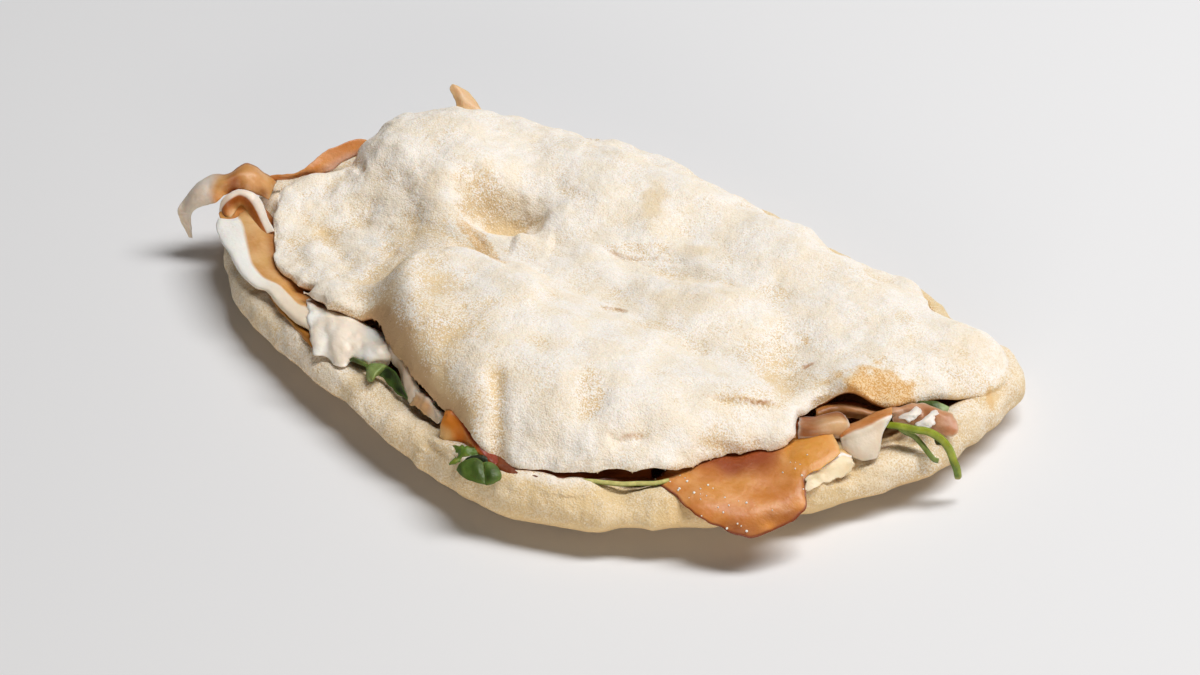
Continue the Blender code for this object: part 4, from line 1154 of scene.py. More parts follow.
# %% The band of ham and fat on the left
BAND = (
    ((-135.9, 4.1, 17.6), (-125.4, -0.7, 17.2), (-117.8, -5.3, 17), (-112.6, -11.4, 17), (-108.2, -17.8, 17),
     (-104.8, -22.8, 17), (-100.4, -26, 17), (-94.8, -28.4, 17), (-90.5, -30.9, 17), (-87.3, -32.8, 17),
     (-83.6, -32.6, 17)),
    ((-134.3, -1, 18), (-125.8, -6.4, 18.2), (-120.1, -10.1, 17.6), (-115.3, -15.4, 17.4), (-111, -21.2, 17.4),
     (-106.7, -25.8, 17.4), (-101.7, -28.6, 17.4), (-96.1, -31.6, 17.4), (-91.2, -34.4, 17.4), (-87.3, -36.1, 17.6),
     (-83.2, -35.4, 17.8)),
    ((-133.5, -5.1, 18), (-127.4, -9.2, 18.6), (-121.8, -13.9, 18.6), (-117, -19.2, 18.4), (-113.1, -24.3, 18.2),
     (-108.7, -28.4, 18), (-103.8, -30.6, 18), (-97.8, -33.1, 18.2), (-92.3, -36.2, 18.2), (-87.8, -38.2, 18.4),
     (-82.6, -37.4, 18.6)),
    ((-132.7, -8.6, 18.4), (-129.1, -11.5, 18.6), (-124.2, -16.8, 18.8), (-119.2, -22.3, 18.8), (-114.8, -27.4, 18.8),
     (-109.7, -31.4, 18.8), (-104.5, -33.5, 18.8), (-98.8, -34.3, 19), (-92.5, -37.5, 19), (-87.3, -40, 19.2),
     (-81.5, -39.5, 19.4)),
    ((-134.2, -10.4, 18.2), (-131.8, -13.9, 18.4), (-126.7, -19.5, 18.8), (-120.7, -24.7, 19), (-115.8, -29.5, 19),
     (-110.3, -33.9, 19), (-104.5, -36.2, 19), (-99, -36.9, 19.2), (-91.8, -40.7, 19.4), (-85.1, -43.9, 19.6),
     (-78.4, -44.3, 19.6)),
    ((-137.1, -11.7, 18.1), (-135.3, -15.9, 18.1), (-129.9, -21.3, 18.5), (-122.5, -26.7, 18.9), (-117, -31.2, 18.9),
     (-111.1, -35.3, 18.9), (-105.1, -37.8, 19.1), (-99.6, -38.4, 19.3), (-91.4, -43.2, 19.3), (-83.8, -46.4, 19.5),
     (-75.7, -48.4, 19.5)),
    ((-138.6, -11.3, 17.6), (-136.5, -16, 17.6), (-130.7, -21.7, 18), (-123.9, -26.2, 18), (-118.5, -30.7, 18),
     (-112, -35.2, 18), (-105.4, -38, 18.2), (-100.7, -38.1, 18.4), (-92.7, -43, 18.2), (-84.3, -47, 18.4),
     (-74.9, -49.7, 18.6)),
)
GROOVE = (
    ((-102.8, -35, 16.4), (-95, -39.8, 16.4), (-87.6, -43.8, 16.6), (-81.3, -46.5, 16.8), (-76.6, -47.7, 17),
     (-72.5, -47.8, 17)),
    ((-100.1, -37.9, 16.9), (-92.6, -42.7, 17), (-86, -46.2, 17.2), (-79.8, -49.2, 17.6), (-75.2, -51, 17.8),
     (-70.9, -51.3, 17.6)),
    ((-99.3, -38.5, 16.4), (-91.7, -43.4, 16.4), (-85.5, -46.9, 16.5), (-79.4, -50.4, 16.6), (-74.1, -53.3, 16.6),
     (-69.2, -54.5, 16.5)),
)
LOOP_INSIDE = (
    ((-140.3, -8.8, 17.5), (-139.8, -5.1, 19.5), (-137.3, -2.2, 21), (-132.9, -1.6, 20.5), (-128.2, -4.5, 19.4)),
    ((-138.2, -10.7, 17), (-137.3, -6.6, 18), (-135, -4, 18.8), (-131.4, -4, 18.4), (-126, -7.2, 17.8)),
    ((-135.2, -12.7, 16.8), (-133.2, -10.3, 17.2), (-131.3, -7.8, 17.6), (-128.1, -7.7, 17.4), (-123.2, -10.9, 17)),
)
LOOP = (
    ((-139.5, -8.9, 16.6), (-140.7, -7.8, 18.4), (-140.3, -6.5, 21.4), (-138.6, -4.5, 23.4), (-136, -1.8, 24.2),
     (-132.8, -0.7, 23.8), (-130.2, -0.5, 22.8), (-126.4, -2.4, 21.6), (-122, -6.2, 20.2), (-117.4, -9.8, 18.8)),
    ((-138.1, -9.1, 16.8), (-139.7, -7.6, 18.2), (-138.8, -6.7, 20.8), (-137.3, -5.5, 22.6), (-135.4, -3.4, 23.4),
     (-133, -2.8, 23), (-130.4, -3.3, 21.8), (-127, -5.4, 20.8), (-123.5, -8, 19.6), (-119.3, -11.2, 18.2)),
    ((-136.6, -9.5, 17), (-137.3, -8.6, 18), (-137.3, -6.5, 19.2), (-136.6, -4.5, 20.2), (-135.4, -3.2, 20.8),
     (-133.8, -2.9, 20.4), (-131.5, -4, 19.8), (-128.7, -6.1, 19), (-125.4, -8.8, 18.2), (-120.3, -12.8, 17.6)),
    ((-135.1, -9.3, 17.2), (-135.3, -8.4, 17.4), (-135.5, -6.6, 17.8), (-135.3, -4.8, 18.2), (-134.8, -3.5, 18.4),
     (-133.6, -3.7, 18.3), (-131.9, -4.9, 18), (-129.5, -7.2, 17.6), (-126, -10.3, 17.3), (-121.3, -13.7, 17)),
)


def band_colours(at):
    meat = blend(0.5 + at.noise(9, 2), srgb(222, 178, 122), srgb(208, 156, 100))
    meat = blend(smoothly(0.28 - at.across, 0, 0.2), meat, srgb(170, 106, 56))
    # Partly painted shade: darker and more orange towards the right, near the bread's shadow
    meat = blend(smoothly(at.along, 0.45, 0.75) * 0.5, meat, srgb(214, 150, 80))
    fat = blend(smoothly(at.along, 0.4, 0.9), srgb(255, 249, 240), srgb(240, 220, 196))
    # Partly painted shadow: the fat's outer edge is brown orange in the middle, shadow under the edge over meat beneath
    fat = blend(smoothly(at.across, 0.93, 1.0) * smoothly(at.along, 0.4, 0.6) * 0.7, fat, srgb(206, 160, 96))
    return blend(smoothly(at.across + 0.015 * at.noise(5, 4), 0.47, 0.53), meat, fat)


def loop_colours(at):
    inside = blend(smoothly(at.across, 0.5, 1.0), srgb(178, 104, 44), srgb(222, 170, 112))
    return blend(smoothly(0.36 - at.across, 0, 0.06), inside, srgb(240, 224, 208))


band = sheet(BAND, band_colours, crumple=(10, 0.35), ragged=(6, 0.4), draw=10)
groove = sheet(GROOVE, plain(srgb(206, 150, 74), srgb(184, 122, 48)), crumple=(4, 0.3), draw=11)
dress(joined("left_slice", band, groove), ham, "ham", "ham_slice_left")
loop = sheet(LOOP, loop_colours, fineness=0.5, crumple=(5, 0.15), ragged=(4, 0.25), draw=12)
lining = sheet(LOOP_INSIDE, plain(srgb(196, 122, 58), srgb(222, 164, 100)), fineness=0.5, thickness=0.6,
               crumple=(5, 0.2), ragged=(4, 0.25), draw=33)
dress(joined("left_loop", loop, lining), ham, "ham", "ham_loop_left")

# %% The curl and the strip behind it
CURL = (
    ((-132.7, 14, 19.6), (-134.2, 10.8, 23.5), (-136.8, 9.6, 26), (-139.7, 8, 27.2), (-141.3, 5.1, 27),
     (-142.9, 0.8, 26.4), (-147.4, -0.4, 25.6), (-150, -3.2, 24.4), (-152, -7, 22.2), (-153.3, -10.2, 19.6),
     (-153.7, -13.1, 16), (-152.2, -13.5, 11.4), (-150.3, -13.7, 7.2)),
    ((-130.4, 9.6, 20.6), (-132.1, 7.1, 24), (-134.4, 5.5, 27), (-136.8, 3.9, 28), (-138.5, 0.6, 27.8),
     (-140.7, -3.3, 27), (-144.6, -4.8, 26.2), (-147.6, -7.2, 24.6), (-149.9, -9.5, 22), (-151.1, -11.6, 19.2),
     (-152.2, -12.7, 15.4), (-151.4, -12.8, 10.8), (-149.9, -13.4, 7)),
    ((-129.3, 6.2, 20.6), (-130.9, 4.7, 23), (-133.3, 3.1, 25.6), (-135.2, 1.4, 26.4), (-137.8, -0.7, 26),
     (-140.2, -4.4, 25.4), (-143, -7.3, 24.6), (-145.4, -9.3, 23), (-147.5, -11.2, 21), (-149.1, -12.5, 18.4),
     (-150.4, -12.7, 14.8), (-150.4, -12.2, 10.4), (-149.6, -13, 6.8)),
    ((-129.3, 4.2, 19.4), (-131, 3.3, 20.6), (-132.2, 0.6, 22.6), (-134.3, -0.8, 23.6), (-137.8, -1.7, 23.4),
     (-139.7, -4.2, 23), (-140.1, -9, 22.2), (-142.6, -10.8, 21), (-146.3, -11.5, 19.6), (-148.3, -12.7, 17.6),
     (-149.2, -13, 14.2), (-149.5, -12.4, 10), (-149.4, -12.8, 6.6)),
)
REAR = (
    ((-135.7, 10.4, 22), (-132.3, 12.6, 22.4), (-128.7, 15, 22.6), (-125.6, 18.4, 23.2), (-124.1, 21.6, 24),
     (-123.4, 25.5, 24.8), (-122, 29.6, 25.6), (-119.7, 34.1, 26.2), (-116.9, 39.1, 26.2), (-114.6, 42.4, 25)),
    ((-135, 9.7, 21), (-132, 12.6, 21.6), (-128.3, 14.9, 21.8), (-125.4, 18.5, 22.2), (-122.9, 21.5, 22.8),
     (-121.6, 25.7, 23.2), (-120.3, 29.8, 23.6), (-118.2, 34.1, 24.2), (-115.8, 38.5, 24), (-113.4, 41.6, 23)),
    ((-134.7, 9.8, 19.4), (-132, 13, 20), (-128.5, 15.6, 20.2), (-125.2, 19.2, 20.4), (-121.7, 21.8, 20.4),
     (-119.3, 25.5, 20.4), (-118, 29.7, 20.8), (-116.4, 33.6, 21.4), (-114.2, 37.6, 21.4), (-111.5, 39.7, 21)),
)
BACK_TAB = (
    ((-102.9, 79.3, 30), (-102.6, 79.8, 30), (-101.8, 79.9, 30)),
    ((-102.2, 77.8, 29.4), (-100.8, 79, 29.8), (-99.7, 80.3, 29.4)),
    ((-100.4, 76.5, 27.8), (-98.6, 77.9, 28.2), (-97.2, 80.9, 27.8)),
    ((-98.9, 75.5, 26), (-96.5, 76.9, 26.4), (-94.3, 80.6, 26)),
    ((-97, 73.6, 23.6), (-93.8, 75, 23.8), (-89.9, 78.6, 23.4)),
)


def curl_colours(at):
    hump = blend(0.5 + at.noise(5, 2), srgb(218, 168, 112), srgb(198, 138, 82))
    # Painted shade: a dark brown line along the fold's crease
    crease_shade = np.exp(-(((at.along - 0.36) / 0.045) ** 2)) * smoothly(at.across + 0.2 * at.noise(3, 4), 0.0, 0.4)
    hump = blend(crease_shade * 0.85, hump, srgb(148, 82, 42))
    hump = blend(smoothly(0.10 - at.across, 0, 0.08) * 0.6, hump, srgb(140, 72, 40))
    tail = blend(0.5 + at.noise(6, 3), srgb(238, 228, 216), srgb(222, 206, 188))
    return blend(smoothly(at.along - 0.10 * at.across + 0.02 * at.noise(4, 6), 0.40, 0.50), hump, tail)


def rear_colours(at):
    meat = blend(0.5 + at.noise(5, 2), srgb(218, 156, 98), srgb(200, 132, 78))
    return blend(smoothly(at.across, 0.5, 0.9) * smoothly(at.along, 0.45, 0.6) * 0.75, meat, srgb(214, 172, 150))


curl = sheet(CURL, curl_colours, crumple=(5, 0.5), ragged=(4, 0.6), draw=13)
dress(joined("left_curl", curl), ham, "fat", "ham_curl_left")
rear = sheet(REAR, rear_colours, crumple=(6, 0.4), ragged=(4, 0.4), draw=14)
dress(joined("rear_strip", rear), ham, "ham", "ham_strip_rear_left")
tab = sheet(BACK_TAB, plain(srgb(232, 192, 146), srgb(226, 182, 132)), fineness=0.6, crumple=(5, 0.3), draw=15)
dress(joined("back_slice", tab), ham, "ham", "ham_slice_back")

# %% The fat fold and the shreds
FOLD = (
    ((-88.6, -33.2, 17.2), (-82.5, -33.2, 17), (-78.7, -33.7, 19), (-75, -34.1, 19), (-70.8, -35.4, 19),
     (-67, -36.5, 19.2), (-63.2, -37.7, 19.4), (-59.1, -38.9, 19.8), (-54.1, -39.7, 20.2)),
    ((-83.9, -39.9, 20.2), (-77.4, -39.9, 20.6), (-73.3, -40.9, 21), (-69.3, -41.9, 21.2), (-65.1, -43.1, 21),
     (-61.7, -43.9, 20.8), (-58, -45.6, 20.8), (-54.4, -46.5, 21), (-51.3, -45.6, 21.4)),
    ((-80.7, -44.7, 20.6), (-73.6, -45.5, 21.4), (-69.3, -46.9, 22), (-65.4, -47.7, 22), (-61.9, -48.1, 21.2),
     (-58.4, -48.4, 20.8), (-54.7, -49.5, 21.4), (-50.8, -50.3, 22.2), (-48.8, -48.3, 21.6)),
    ((-77.3, -49.3, 20.2), (-70.7, -49.5, 20.4), (-66.4, -51.4, 21), (-63, -52.1, 20.8), (-59.8, -51.5, 20),
     (-55.7, -52.1, 20.4), (-51.8, -52.8, 21.2), (-49, -52.1, 21.4), (-47.5, -49.3, 20.4)),
    ((-73.7, -53.7, 19), (-67.9, -53.4, 19), (-63.6, -55.3, 19.6), (-61, -55.3, 19.4), (-58.6, -53.4, 19),
     (-54.8, -53.6, 19.4), (-51.5, -53.5, 19.8), (-49.1, -52.1, 19.6), (-47.6, -49.9, 18.8)),
    ((-70.4, -57.1, 17), (-65.8, -56.2, 17), (-61.7, -58, 17), (-59.2, -57.2, 17), (-58.3, -54.1, 17.6),
     (-54.4, -54.2, 18), (-51.6, -53.5, 18.2), (-49.3, -51.9, 18), (-47.9, -50.1, 17.6)),
)
STRAND = (
    ((-54, -39.9, 20.8), (-49.6, -41.5, 21.6), (-44.5, -44.8, 21.8), (-39.9, -49.3, 21.6), (-36.1, -53.7, 21.4),
     (-32.7, -56.8, 21), (-29.2, -59.6, 20.4)),
    ((-51, -45.8, 21.7), (-47.6, -46.8, 22.3), (-43.4, -49.3, 22.3), (-39, -53.1, 21.9), (-35.7, -56.6, 21.3),
     (-32.8, -59.4, 20.5), (-30.1, -61.5, 19.5)),
    ((-49.1, -47.9, 20.4), (-46.1, -49.1, 20.8), (-42.7, -51.2, 20.8), (-39.1, -54.3, 20.4), (-36, -57.6, 19.6),
     (-33.5, -60.1, 18.8), (-31, -62, 18)),
    ((-48.3, -48.5, 18.8), (-45.4, -50.1, 19), (-42.2, -52, 18.8), (-39.1, -55.1, 18.2), (-36.6, -57.9, 17.6),
     (-34.1, -60.4, 17.2), (-31.4, -62.5, 17)),
)
SHREDS = (
    ((-36.4, -55, 18.8), (-32.7, -56.3, 18.8), (-28.7, -57.4, 18.8), (-25.1, -59.3, 18.8), (-21.8, -61, 18.6),
     (-17.7, -62.6, 18.2)),
    ((-32.6, -59.4, 20.8), (-29.5, -60.7, 20.6), (-25.9, -61.7, 21), (-23, -63.1, 20.4), (-20.4, -64.4, 19.6),
     (-17.4, -65.4, 18.8)),
    ((-31.7, -61.3, 19.6), (-29.1, -62, 19.2), (-25.8, -63.3, 19.4), (-23, -64.4, 19), (-20.5, -64.9, 18.4),
     (-18.1, -65.5, 17.8)),
    ((-31.3, -62.7, 17.2), (-28.7, -63.4, 17.2), (-25.8, -64.6, 17.2), (-22.8, -65.4, 17.2), (-20.5, -65.7, 17.2),
     (-18.4, -66.2, 17)),
)

waxy = plain(srgb(255, 248, 240), srgb(244, 228, 210), size=7)
fold = sheet(FOLD, waxy, fineness=0.6, thickness=1.1, crumple=(5, 1.0), ragged=(4, 1.0), draw=16)
dress(joined("left_fat_fold", fold), ham, "fat", "ham_fat_fold_left")
strand = sheet(STRAND, plain(srgb(242, 226, 208), srgb(228, 202, 178)), fineness=0.5, crumple=(4, 0.5),
               ragged=(3, 0.6), draw=17)


def shred_colours(at):
    pale = blend(0.5 + at.noise(3, 2), srgb(246, 234, 220), srgb(230, 204, 178))
    return blend(smoothly(at.across, 0.35, 0.6) * smoothly(0.75 - at.along, 0, 0.3), pale, srgb(214, 172, 128))


shreds = sheet(SHREDS, shred_colours, fineness=0.45, thickness=0.8, crumple=(3, 0.8), ragged=(2, 1.1), draw=18)
dress(joined("left_shreds", strand, shreds), ham, "fat", "ham_shreds_left")

# %% The slice along the front
AMBER_PIECE = (
    ((-19.7, -57.6, 18.2), (-16.4, -58.3, 18.4), (-12.5, -60, 18.4), (-7.9, -63.1, 18.2), (-3.2, -66.1, 18),
     (1.1, -68.8, 17.8), (5.7, -70.7, 17.6)),
    ((-16.9, -65.5, 22), (-14.1, -65.3, 22.6), (-10.4, -66.8, 22.2), (-5.8, -69.8, 21.2), (-1.6, -72.2, 20.4),
     (3, -74.7, 19.4), (7, -75.8, 18.6)),
    ((-16.4, -67.4, 21.4), (-13.3, -67.8, 21.8), (-10.2, -69, 21.2), (-6.5, -71, 20.2), (-2.3, -73.4, 19.4),
     (2.1, -75.6, 18.6), (6.5, -76.6, 18)),
    ((-15.9, -69.5, 19.6), (-13, -70.2, 19.8), (-10.3, -71.2, 19.2), (-7.3, -72.1, 18.4), (-2.9, -74.2, 17.8),
     (1.3, -76, 17.4), (5.7, -77, 17.2)),
    ((-15.3, -71.7, 17.2), (-12.8, -72.5, 17.2), (-10.2, -72.6, 17.2), (-7.4, -73.2, 17.2), (-3.3, -75.4, 17),
     (1.1, -76.9, 16.8), (5.4, -77.7, 16.8)),
)
# A strip of ham in the slit, painted dark brown as painted shade in the narrow gap
SEAM_SHADE_STRIP = (
    ((3.1, -69.8, 18.8), (9.2, -70.6, 18.8), (14.9, -69.8, 18.6), (22.2, -67, 18.4), (29.8, -62.9, 18.4),
     (37.1, -57.7, 18.4), (45.2, -50.9, 18.2)),
    ((5.9, -75.6, 18.6), (11.8, -76.2, 18.2), (17.7, -75.8, 18), (25.7, -73.2, 17.8), (33.1, -68.8, 17.8),
     (40.3, -63.5, 17.8), (49.3, -57.2, 17.6)),
    ((5.8, -76.7, 17.2), (12, -77.9, 17), (18, -76.9, 16.8), (26.2, -74.1, 16.8), (33.6, -69.8, 16.8),
     (40.8, -64.5, 16.8), (50.7, -58.5, 16.8)),
)


def amber_colours(at):
    meat = blend(0.5 + at.noise(4, 2), AMBER, srgb(218, 134, 56))
    lit = smoothly(at.across, 0.6, 0.85) * smoothly(0.45 - at.along, 0, 0.25)
    meat = blend(lit, meat, srgb(232, 182, 124))
    # Painted shade: dark red along the back edge, where the slice goes under the crust
    return blend(smoothly(0.42 - at.across, 0, 0.12) * smoothly(at.along, 0.05, 0.25), meat, srgb(140, 52, 26))


amber = sheet(AMBER_PIECE, amber_colours, fineness=0.6, crumple=(4, 0.5), ragged=(3, 0.5), draw=19)
# Painted shade: the strip in the slit is dark brown
seam_shade_strip = sheet(SEAM_SHADE_STRIP, plain(srgb(130, 62, 18), srgb(100, 44, 12)), crumple=(5, 0.3), ragged=(4, 0.4), draw=20)
dress(joined("front_slice", amber, seam_shade_strip), ham, "ham", "ham_slice_front")

# %% [markdown]
# ## The rocket
# A few leaves and stems of rocket stick out of the slit. The leaves are dark green and softly shiny, a small
# crinkled one is turning yellow, and the cut stems are yellow green. The stems are painted paler on top and darker
# below, and the left leaf's fold and a leaf behind the front ones are painted dark, as painted light and shade. A
# leaf is a small sheet, and a stem is a tube through places that have radii.

# %% Leaves
LEFT_LEAF_LIGHT = (
    ((-52.2, -55.6, 19), (-50.4, -58, 19.4), (-49, -60.3, 19.2), (-47.4, -61.4, 18.6)),
    ((-50.7, -55.3, 20.2), (-48.5, -58.4, 20.8), (-47.1, -60.9, 20.4), (-46.2, -61.8, 19.2)),
    ((-48.3, -54.9, 21), (-46.6, -58.2, 21.4), (-45.8, -60.5, 21), (-45.6, -61.5, 19.8)),
    ((-46.2, -54.2, 21.2), (-45.8, -56.6, 21.2), (-45.8, -58.3, 20.6), (-45.9, -59.4, 19.8)),
    ((-45, -53.9, 20.6), (-45.4, -54.9, 20.2), (-45.7, -56.5, 19.8), (-46, -57.5, 19.2)),
)
# The left leaf's fold, painted dark green as painted shade
LEFT_LEAF_SHADED_FOLD = (
    ((-46, -55.8, 20), (-46.6, -56.1, 19), (-46.6, -56.7, 18.4)),
    ((-44.6, -54.5, 21), (-45.5, -55, 19.2), (-44.9, -56.9, 18)),
    ((-42.2, -55.1, 21), (-43.3, -55.5, 19.2), (-42.6, -58.1, 17.6)),
    ((-39.4, -56.7, 20.6), (-40.4, -57.2, 18.8), (-40.4, -59.1, 17.4)),
    ((-37.3, -58.6, 19.8), (-37.8, -58.8, 18.2), (-37.9, -60.2, 17.2)),
    ((-35.4, -59.7, 18.6), (-35.2, -60.4, 17.8), (-35.1, -60.9, 17)),
    ((-33.5, -61.1, 17.8), (-33.4, -61.3, 17.4), (-33.2, -61.6, 17)),
)
FRONT_LEAF_LEFT = (
    ((-3.3, -82, 16.8), (-2.4, -82.5, 16.8), (-1.5, -83, 16.6)),
    ((-3.1, -80.3, 18.2), (-0.9, -82.2, 18), (1.3, -84.1, 17)),
    ((-1.4, -78.9, 19.4), (1.5, -81.7, 19), (4.3, -84.5, 17.4)),
    ((0.7, -77.8, 20), (4.1, -81.8, 19.8), (6.6, -84.3, 17.6)),
    ((3.7, -78.2, 19.8), (5.9, -81.1, 19.2), (8.3, -84.1, 17.4)),
)
FRONT_LEAF_RIGHT = (
    ((3.7, -78.2, 19.8), (5.9, -81.1, 19.2), (8.3, -84.1, 17.4)),
    ((5, -77.5, 20.2), (7.8, -81.1, 20), (9.7, -83.5, 17.8)),
    ((6.5, -77.1, 20), (9.4, -80.5, 19.8), (10.8, -82.5, 18)),
    ((8.5, -77.6, 19.4), (10.3, -79.7, 19.2), (11.2, -81.4, 18)),
    ((10, -78.5, 18.6), (10.7, -79.4, 18.4), (11.1, -80.3, 18)),
)
# A leaf behind the front ones, painted dark green all over as painted shade
FRONT_LEAF_BACK_SHADED = (
    ((-2.5, -78.9, 18.4), (-1.9, -78.9, 18.2), (-1.2, -78.8, 18)),
    ((-1.4, -77.3, 19.2), (-0.4, -77.8, 19), (0.5, -78.1, 18.6)),
    ((0.5, -75.8, 19.8), (1.7, -76.7, 19.6), (2.5, -77.5, 19)),
    ((2.7, -75.3, 19.8), (3.6, -76.1, 19.6), (4.3, -77, 19)),
    ((4.7, -75.3, 19), (5.1, -75.7, 18.9), (5.4, -76.2, 18.6)),
)
CRINKLED = (
    ((-9.7, -74.5, 18.4), (-7.6, -75.7, 18.2), (-6.8, -78.2, 17.6), (-5.9, -80.8, 17)),
    ((-7.3, -74.3, 19.6), (-5.6, -76, 19.2), (-4.9, -77.9, 18.2), (-4.6, -80.6, 17.2)),
    ((-4.5, -74.3, 20), (-3.3, -75.8, 19.6), (-2.9, -77.1, 18.8), (-3.2, -78.3, 18)),
    ((-1.9, -73.4, 20.2), (-1.1, -74.8, 19.8), (-0.9, -76.3, 19.2), (-1.4, -77.3, 18.6)),
    ((0.6, -73.1, 19.8), (0.9, -74.2, 19.6), (0.8, -75.1, 19.2), (0.2, -75.9, 18.8)),
    ((2.7, -73.7, 19), (2.6, -74.3, 19), (2.3, -74.7, 18.8), (1.9, -75.2, 18.6)),
)
INNER_LEAF = (
    ((105.3, 9.4, 20.8), (106.1, 9, 20.6), (106.9, 8.9, 20.2)),
    ((107.6, 9.8, 21.6), (108.7, 9, 21.4), (109.7, 8.3, 20.8)),
    ((110.2, 10.7, 21.8), (111.2, 9.3, 21.6), (112.1, 8, 21)),
    ((112.3, 11.3, 21.6), (113.2, 9.9, 21.4), (114.1, 8.5, 20.8)),
    ((114.6, 11.5, 20.8), (114.8, 10.6, 20.6), (114.9, 9.8, 20.2)),
)
STEM_LOBE = (
    ((115.9, -2.6, 19.8), (116.5, -3.5, 19.2), (117.3, -4.1, 18.6)),
    ((117.2, -2.7, 20.2), (117.8, -3.9, 19.8), (118.3, -4.6, 19)),
    ((118.7, -2.6, 19.8), (118.9, -3.5, 19.4), (118.9, -4.1, 19)),
)

leaf = Finish("rocket_leaf", Roughness=0.5, Subsurface_Weight=0.15, Subsurface_Scale=1.0 * MM)
leaf_tint = leaf.node("Attribute", {"attribute_name": "tint"}, output="Color")
mottle = leaf.grain(2.5, 3.0)
veined = leaf.node("HueSaturation", {}, Color=leaf_tint, Saturation=0.95, Value=1.3)
leaf.feed(Base_Color=leaf.mix(mottle.ramp(0.42, 0.72), leaf_tint, veined))
leaf.feed(Normal=leaf.bump(leaf.grain(1.6, 2.0), 0.35))

GREEN = srgb(48, 66, 14)
DARK_GREEN = srgb(30, 42, 10)
LIGHT_GREEN = srgb(134, 150, 84)
YELLOW_GREEN = srgb(168, 166, 50)


def green(base, edge, edge_width=1.0):
    """A painter for a leaf whose border has another tone."""
    return lambda at: blend(smoothly(edge_width - at.rim, 0, edge_width), blend(0.5 + at.noise(3, 2), base, edge), edge)


def inner_leaf_colours(at):
    return blend(smoothly(at.across, 0.5, 0.8), srgb(70, 92, 26), srgb(150, 166, 110))


def leaf_sheet(rows, colours, draw, crumple=(4, 0.25), ragged=(3, 0.35)):
    return sheet(rows, colours, fineness=0.4, thickness=0.5, crumple=crumple, ragged=ragged, draw=draw)


left_parts = [
    leaf_sheet(LEFT_LEAF_LIGHT, green(LIGHT_GREEN, srgb(110, 132, 62)), 21),
    leaf_sheet(LEFT_LEAF_SHADED_FOLD, green(DARK_GREEN, srgb(70, 96, 34)), 22),
]
front_parts = [
    leaf_sheet(FRONT_LEAF_LEFT, green(GREEN, srgb(80, 104, 36)), 23),
    leaf_sheet(FRONT_LEAF_RIGHT, green(GREEN, srgb(86, 112, 42)), 24),
    leaf_sheet(FRONT_LEAF_BACK_SHADED, green(DARK_GREEN, DARK_GREEN), 25),
]
crinkled = leaf_sheet(CRINKLED, green(YELLOW_GREEN, srgb(84, 112, 30), 1.6), 26, crumple=(2.5, 0.7), ragged=(1.6, 0.8))
inner = leaf_sheet(INNER_LEAF, inner_leaf_colours, 27)
dress(joined("front_leaf", *front_parts), leaf, "leaf", "rocket_leaf_front")
dress(joined("folded_leaf", crinkled), leaf, "stem", "rocket_leaf_folded")
dress(joined("inner_leaf", inner), leaf, "leaf", "rocket_leaf_inside")

# %% Stems
MAIN_STEM = (
    ((100.1, -7.1, 22.2), 0.84), ((102.6, -7.8, 23), 0.97), ((105.4, -7.6, 23.6), 1.05), ((108.4, -6.9, 23.6), 1.09),
    ((111.5, -5.9, 23.2), 1.13), ((113.9, -4.6, 22.8), 1.18), ((116.7, -4.1, 22), 1.22), ((119.3, -3.9, 20.6), 1.22),
    ((121.7, -4.1, 18.2), 1.26), ((123.3, -4.2, 15), 1.22), ((124.3, -3.5, 11.4), 1.18), ((124.8, -2.9, 8), 1.13),
)
SMALL_STEM = (
    ((105.9, -6, 21.4), 0.6), ((107.8, -6, 21), 0.8), ((110, -5.6, 20.4), 0.85), ((111.7, -5.7, 19.6), 0.85),
    ((114.1, -6.4, 18.4), 0.85), ((116.6, -7.4, 17), 0.85), ((118.5, -7.9, 16), 0.8), ((119.9, -7.6, 15.8), 0.75),
)
FRONT_STEM = (
    ((30.9, -69.6, 18.0), 0.5), ((34.9, -68.4, 18.2), 0.66), ((39.5, -66.9, 18.3), 0.74), ((43.8, -65, 18.2), 0.74),
    ((47.7, -62.3, 18.0), 0.74), ((51.9, -59.5, 17.8), 0.7), ((54.6, -56.5, 17.8), 0.66),
)
LEAF_STALK = (
    ((-58.2, -55.2, 18.4), 0.5), ((-57.5, -54.5, 18.8), 0.7), ((-55.9, -54.8, 19), 0.75), ((-53.7, -55.3, 19.4), 0.7),
    ((-51.4, -56, 19.8), 0.6),
)


# A stem has no border, so its points are said to lie this far from one; it has five faint ridges
NO_RIM = 9
RIDGES, RIDGE_RISE = 5, 0.07
CUT_ANGLE = math.radians(50)


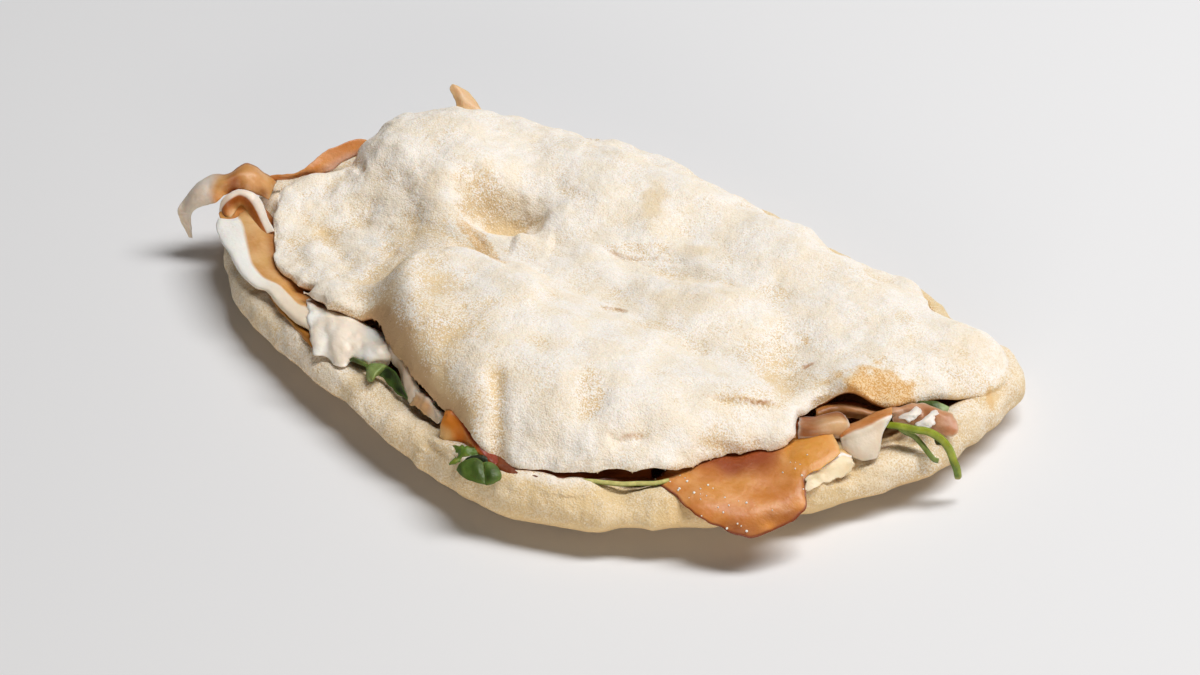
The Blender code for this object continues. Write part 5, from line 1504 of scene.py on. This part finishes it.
def tube(line, colours, around=14, step=0.5):
    """A stem through places that have radii, with flat cut ends."""
    points = np.array([place for place, radius in line], float)
    radii = np.array([radius for place, radius in line])
    rings = int(np.linalg.norm(np.diff(points, axis=0), axis=1).sum() / step) + 2
    shares = np.linspace(0, 1, rings)
    middles, radii = through(points, shares), through(radii[:, None], shares)
    ways = np.gradient(middles, axis=0)
    ways /= np.linalg.norm(ways, axis=1, keepdims=True)
    sides = np.cross(ways, (0, 0, 1))
    sides /= np.linalg.norm(sides, axis=1, keepdims=True)
    ups = np.cross(sides, ways)
    bpy.ops.object.select_all(action="DESELECT")
    bpy.ops.mesh.primitive_cylinder_add(vertices=around, radius=1, depth=1)
    made = bpy.context.object
    bpy.ops.object.mode_set(mode="EDIT")
    bpy.ops.mesh.select_all(action="SELECT")
    bpy.ops.mesh.delete(type="VERT")
    bpy.ops.object.mode_set(mode="OBJECT")
    turns = np.linspace(0, 2 * math.pi, around, endpoint=False)
    ridge = 1 + RIDGE_RISE * np.cos(turns * RIDGES)
    skin = middles[:, None] + (radii * ridge)[..., None] * (
        np.cos(turns)[None, :, None] * sides[:, None] + np.sin(turns)[None, :, None] * ups[:, None]
    )
    flat = skin.reshape(-1, 3)
    faces = [
        (r * around + k, r * around + (k + 1) % around, (r + 1) * around + (k + 1) % around, (r + 1) * around + k)
        for r in range(rings - 1) for k in range(around)
    ]
    faces += [tuple(range(around))[::-1], tuple(range((rings - 1) * around, rings * around))]
    made.data.from_pydata(((flat + MIDDLE) * MM).tolist(), [], faces)
    made.data.update()
    along = np.repeat(shares, around)
    # How far up each point of a stem faces, which the stems' painters use for painted light and shade
    upward = np.tile(np.sin(turns), rings)
    paint_tones(made, colours(Spot(along, upward, np.full(len(along), NO_RIM), flat)))
    bpy.ops.object.shade_smooth_by_angle(angle=CUT_ANGLE)
    return made


def main_stem_colours(at):
    green_skin = blend(0.5 + at.noise(4, 2), srgb(150, 160, 30), srgb(128, 142, 26))
    # Painted shade: darker green on the stem's lower side
    green_skin = blend(smoothly(0.35 - at.across, 0, 0.7) * 0.8, green_skin, srgb(66, 96, 20))
    return blend(smoothly(at.along, 0.965, 0.99), green_skin, srgb(150, 150, 84))


def small_stem_shaded_below(at):
    # Painted shade: the small stem is darker on its lower side
    return blend(smoothly(0.3 - at.across, 0, 0.8), srgb(118, 134, 62), srgb(70, 92, 34))


main = tube(MAIN_STEM, main_stem_colours)
lobe = leaf_sheet(STEM_LOBE, green(DARK_GREEN, GREEN), 28)
dress(joined("right_stem", main, lobe), leaf, "stem", "rocket_stem_right")
dress(joined("small_stem", tube(SMALL_STEM, small_stem_shaded_below)), leaf, "leaf", "rocket_stem_small")
# Painted light and shade: the front stem is pale on top and darker below
front_stem_lit_above = tube(FRONT_STEM, lambda at: blend(smoothly(at.across, -0.2, 0.6), srgb(110, 118, 40), srgb(190, 186, 112)))
dress(joined("front_stem", front_stem_lit_above), leaf, "stem", "rocket_stem_front")
stalk = tube(LEAF_STALK, lambda at: blend(smoothly(at.along, 0.5, 1), srgb(74, 86, 40), srgb(104, 122, 56)))
dress(joined("left_leaf", *left_parts, stalk), leaf, "leaf", "rocket_leaf_left")
